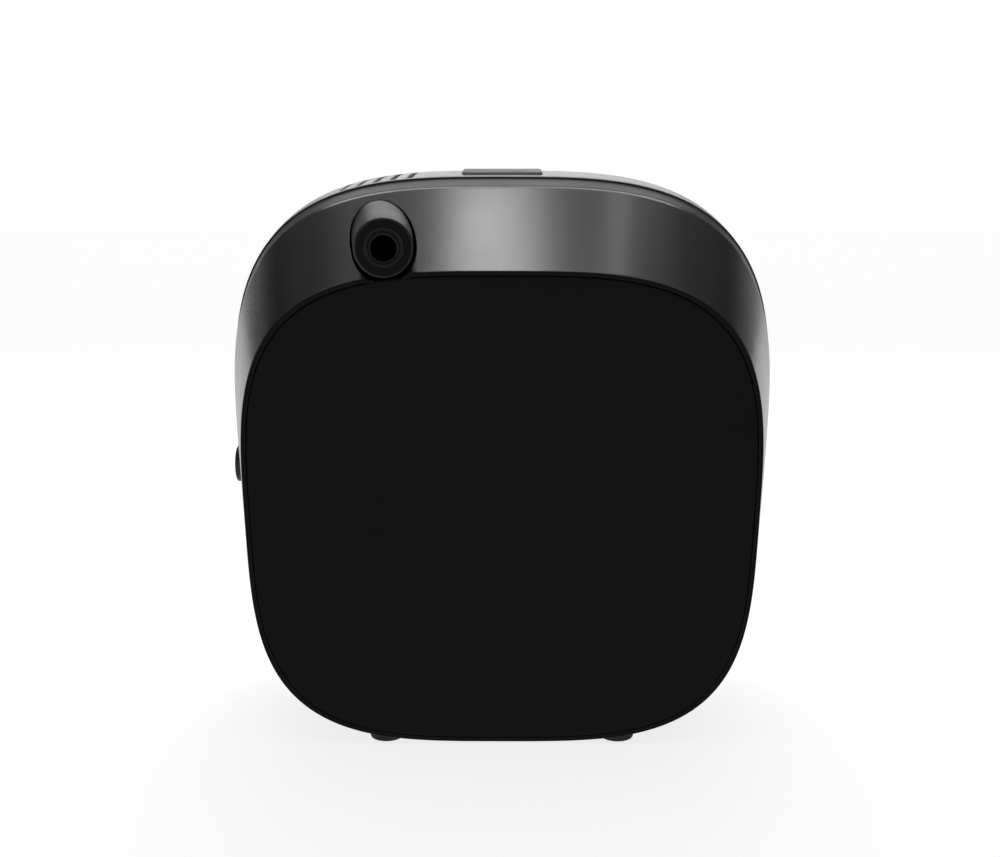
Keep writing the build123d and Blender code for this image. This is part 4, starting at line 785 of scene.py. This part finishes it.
# ------------------------------------------------------------------ ball outlet bezel
BEZEL_LIP = 2.0
bezel_steps = ((0.15, -12.0), (0.15, 0.1), (0.3, 0.4), (0.7, 0.6), (1.2, 0.62), (1.7, 0.45), (BEZEL_LIP, 0.0),
               (BEZEL_LIP, -12.0))
bezel_rings = []
for inset, rise in bezel_steps:
    ring = []
    for x, z in moved(stadium(OUTLET_WIDTH - 2 * inset, OUTLET_HEIGHT - 2 * inset), 0, OUTLET_Z):
        ring.append(at(x, dome_y(x, z) + rise, z))
    bezel_rings.append(ring)
dress(solid("outlet_bezel_skin", bezel_rings, joined=True), "dark_plastic", "housing", "outlet_bezel")


# ------------------------------------------------------------------ buttons
button_low = at(0, 0, 142.0)
top_button = prism("top_button_skin", button_low, ACROSS, ALONG,
                   moved(rounded_box(BUTTON_WIDTH, BUTTON_LENGTH, 2.0), 0, BUTTON_Y), 0, 10.6)
combine(top_button, [], edge=0.7)
dress(top_button, "button_grey", "power_button", "top_button")

side_button = lathe("side_button_skin", at(0, SIDE_BUTTON_Y, 0), -ACROSS,
                    [(136.0, 0.05), (136.0, 11.4), (137.2, 11.4), (137.2, SIDE_BUTTON_RADIUS)]
                    + corner((144.8, SIDE_BUTTON_RADIUS - 0.9), 0.9, 90, 10, 5)
                    + [(145.8, 8.0), (145.9, 0.05)])
dress(side_button, "dark_plastic", "mode_button", "side_button")


# ------------------------------------------------------------------ studio
floor_mesh = bmesh.new()
bmesh.ops.create_grid(floor_mesh, x_segments=1, y_segments=1, size=20.0)
floor = finish_mesh(floor_mesh, "floor")
floor_nodes = Nodes("studio_floor")
floor_nodes.link(floor_nodes.blend(floor_nodes.noise(3.0), (0.50, 0.50, 0.50), (0.52, 0.52, 0.52)),
                 floor_nodes.shader.inputs["Base Color"])
floor_nodes.shader.inputs["Roughness"].default_value = 0.85
floor_nodes.shader.inputs["Emission Color"].default_value = (1.0, 1.0, 1.0, 1.0)
floor_nodes.shader.inputs["Emission Strength"].default_value = 0.80
floor.data.materials.append(floor_nodes.material)


def softbox(name, position, target, width, height, power):
    light = bpy.data.lights.new(name, "AREA")
    light.shape = "RECTANGLE"
    light.size = width
    light.size_y = height
    light.energy = power
    holder = bpy.data.objects.new(name, light)
    bpy.context.scene.collection.objects.link(holder)
    holder.location = position
    holder.rotation_euler = (Vector(target) - Vector(position)).to_track_quat("-Z", "Y").to_euler()
    return holder


softbox("strip_light", (-0.02, 0.68, 1.36), at(0, 48, 140), 0.12, 0.50, 1.2)
softbox("second_strip", (0.28, 0.69, 1.25), at(60, 48, 140), 0.04, 0.40, 0.14)
softbox("dome_fill", (0.0, 1.5, 1.0), at(0, 150, 80), 1.2, 0.5, 4.0)

# pale overhead and near the horizon, darker between them and at both sides of the backdrop
world = bpy.data.worlds.new("studio")
bpy.context.scene.world = world
world.use_nodes = True
sky = world.node_tree
place = sky.nodes.new("ShaderNodeTexCoord")
split = sky.nodes.new("ShaderNodeSeparateXYZ")
ramp = sky.nodes.new("ShaderNodeValToRGB")
for position, level in ((0.155, 1.0), (0.24, 0.10), (0.64, 0.10), (0.74, 0.42)):
    stop = ramp.color_ramp.elements.new(position)
    stop.color = (level, level, level, 1.0)
for index, level in ((0, 1.0), (-1, 0.6)):
    ramp.color_ramp.elements[index].color = (level, level, level, 1.0)
sky.links.new(place.outputs["Generated"], split.inputs["Vector"])
sky.links.new(split.outputs["Z"], ramp.inputs["Fac"])


def sky_math(operation, *values):
    node = sky.nodes.new("ShaderNodeMath")
    node.operation = operation
    for socket, value in zip(node.inputs, values):
        if isinstance(value, float):
            socket.default_value = value
        else:
            sky.links.new(value, socket)
    return node.outputs["Value"]


def sky_spread(value, low, high, out_low, out_high):
    node = sky.nodes.new("ShaderNodeMapRange")
    for socket, limit in zip(("From Min", "From Max", "To Min", "To Max"), (low, high, out_low, out_high)):
        node.inputs[socket].default_value = limit
    sky.links.new(value, node.inputs["Value"])
    return node.outputs["Result"]


FLAG_SPREAD = 0.44            # how far the darker sides of the sky keep from the line of sight
beside = sky_math("SUBTRACT", sky_math("ABSOLUTE", split.outputs["X"]),
                  sky_math("MULTIPLY", split.outputs["Y"], FLAG_SPREAD))
flag_sides = sky_spread(beside, 0.0, 0.08, 0.0, 0.88)
flag_front = sky_spread(split.outputs["Y"], -0.35, -0.1, 0.0, 1.0)
flag_low = sky_spread(split.outputs["Z"], 0.30, 0.45, 1.0, 0.0)
flag = sky_math("MULTIPLY", sky_math("MULTIPLY", flag_sides, flag_front), flag_low)
sky.links.new(ramp.outputs["Color"], sky.nodes["Background"].inputs["Color"])
sky.links.new(sky_math("SUBTRACT", 1.0, flag), sky.nodes["Background"].inputs["Strength"])

camera = bpy.data.cameras.new("camera")
camera.lens = 47.7
camera.clip_start = 0.01
viewpoint = bpy.data.objects.new("camera", camera)
bpy.context.scene.collection.objects.link(viewpoint)
camera_forward = ACROSS * -0.0024 + ALONG * 0.9350 + UP * -0.3546
camera_up = ACROSS * -0.0006 + ALONG * 0.3546 + UP * 0.9350
camera_right = camera_forward.cross(camera_up).normalized()
camera_up = camera_right.cross(camera_forward).normalized()
turned = Matrix((camera_right, camera_up, -camera_forward)).transposed().to_4x4()
viewpoint.matrix_world = Matrix.Translation(at(0.6, -599.3, 277.3)) @ turned
bpy.context.scene.camera = viewpoint
bpy.context.scene.view_settings.view_transform = "Standard"
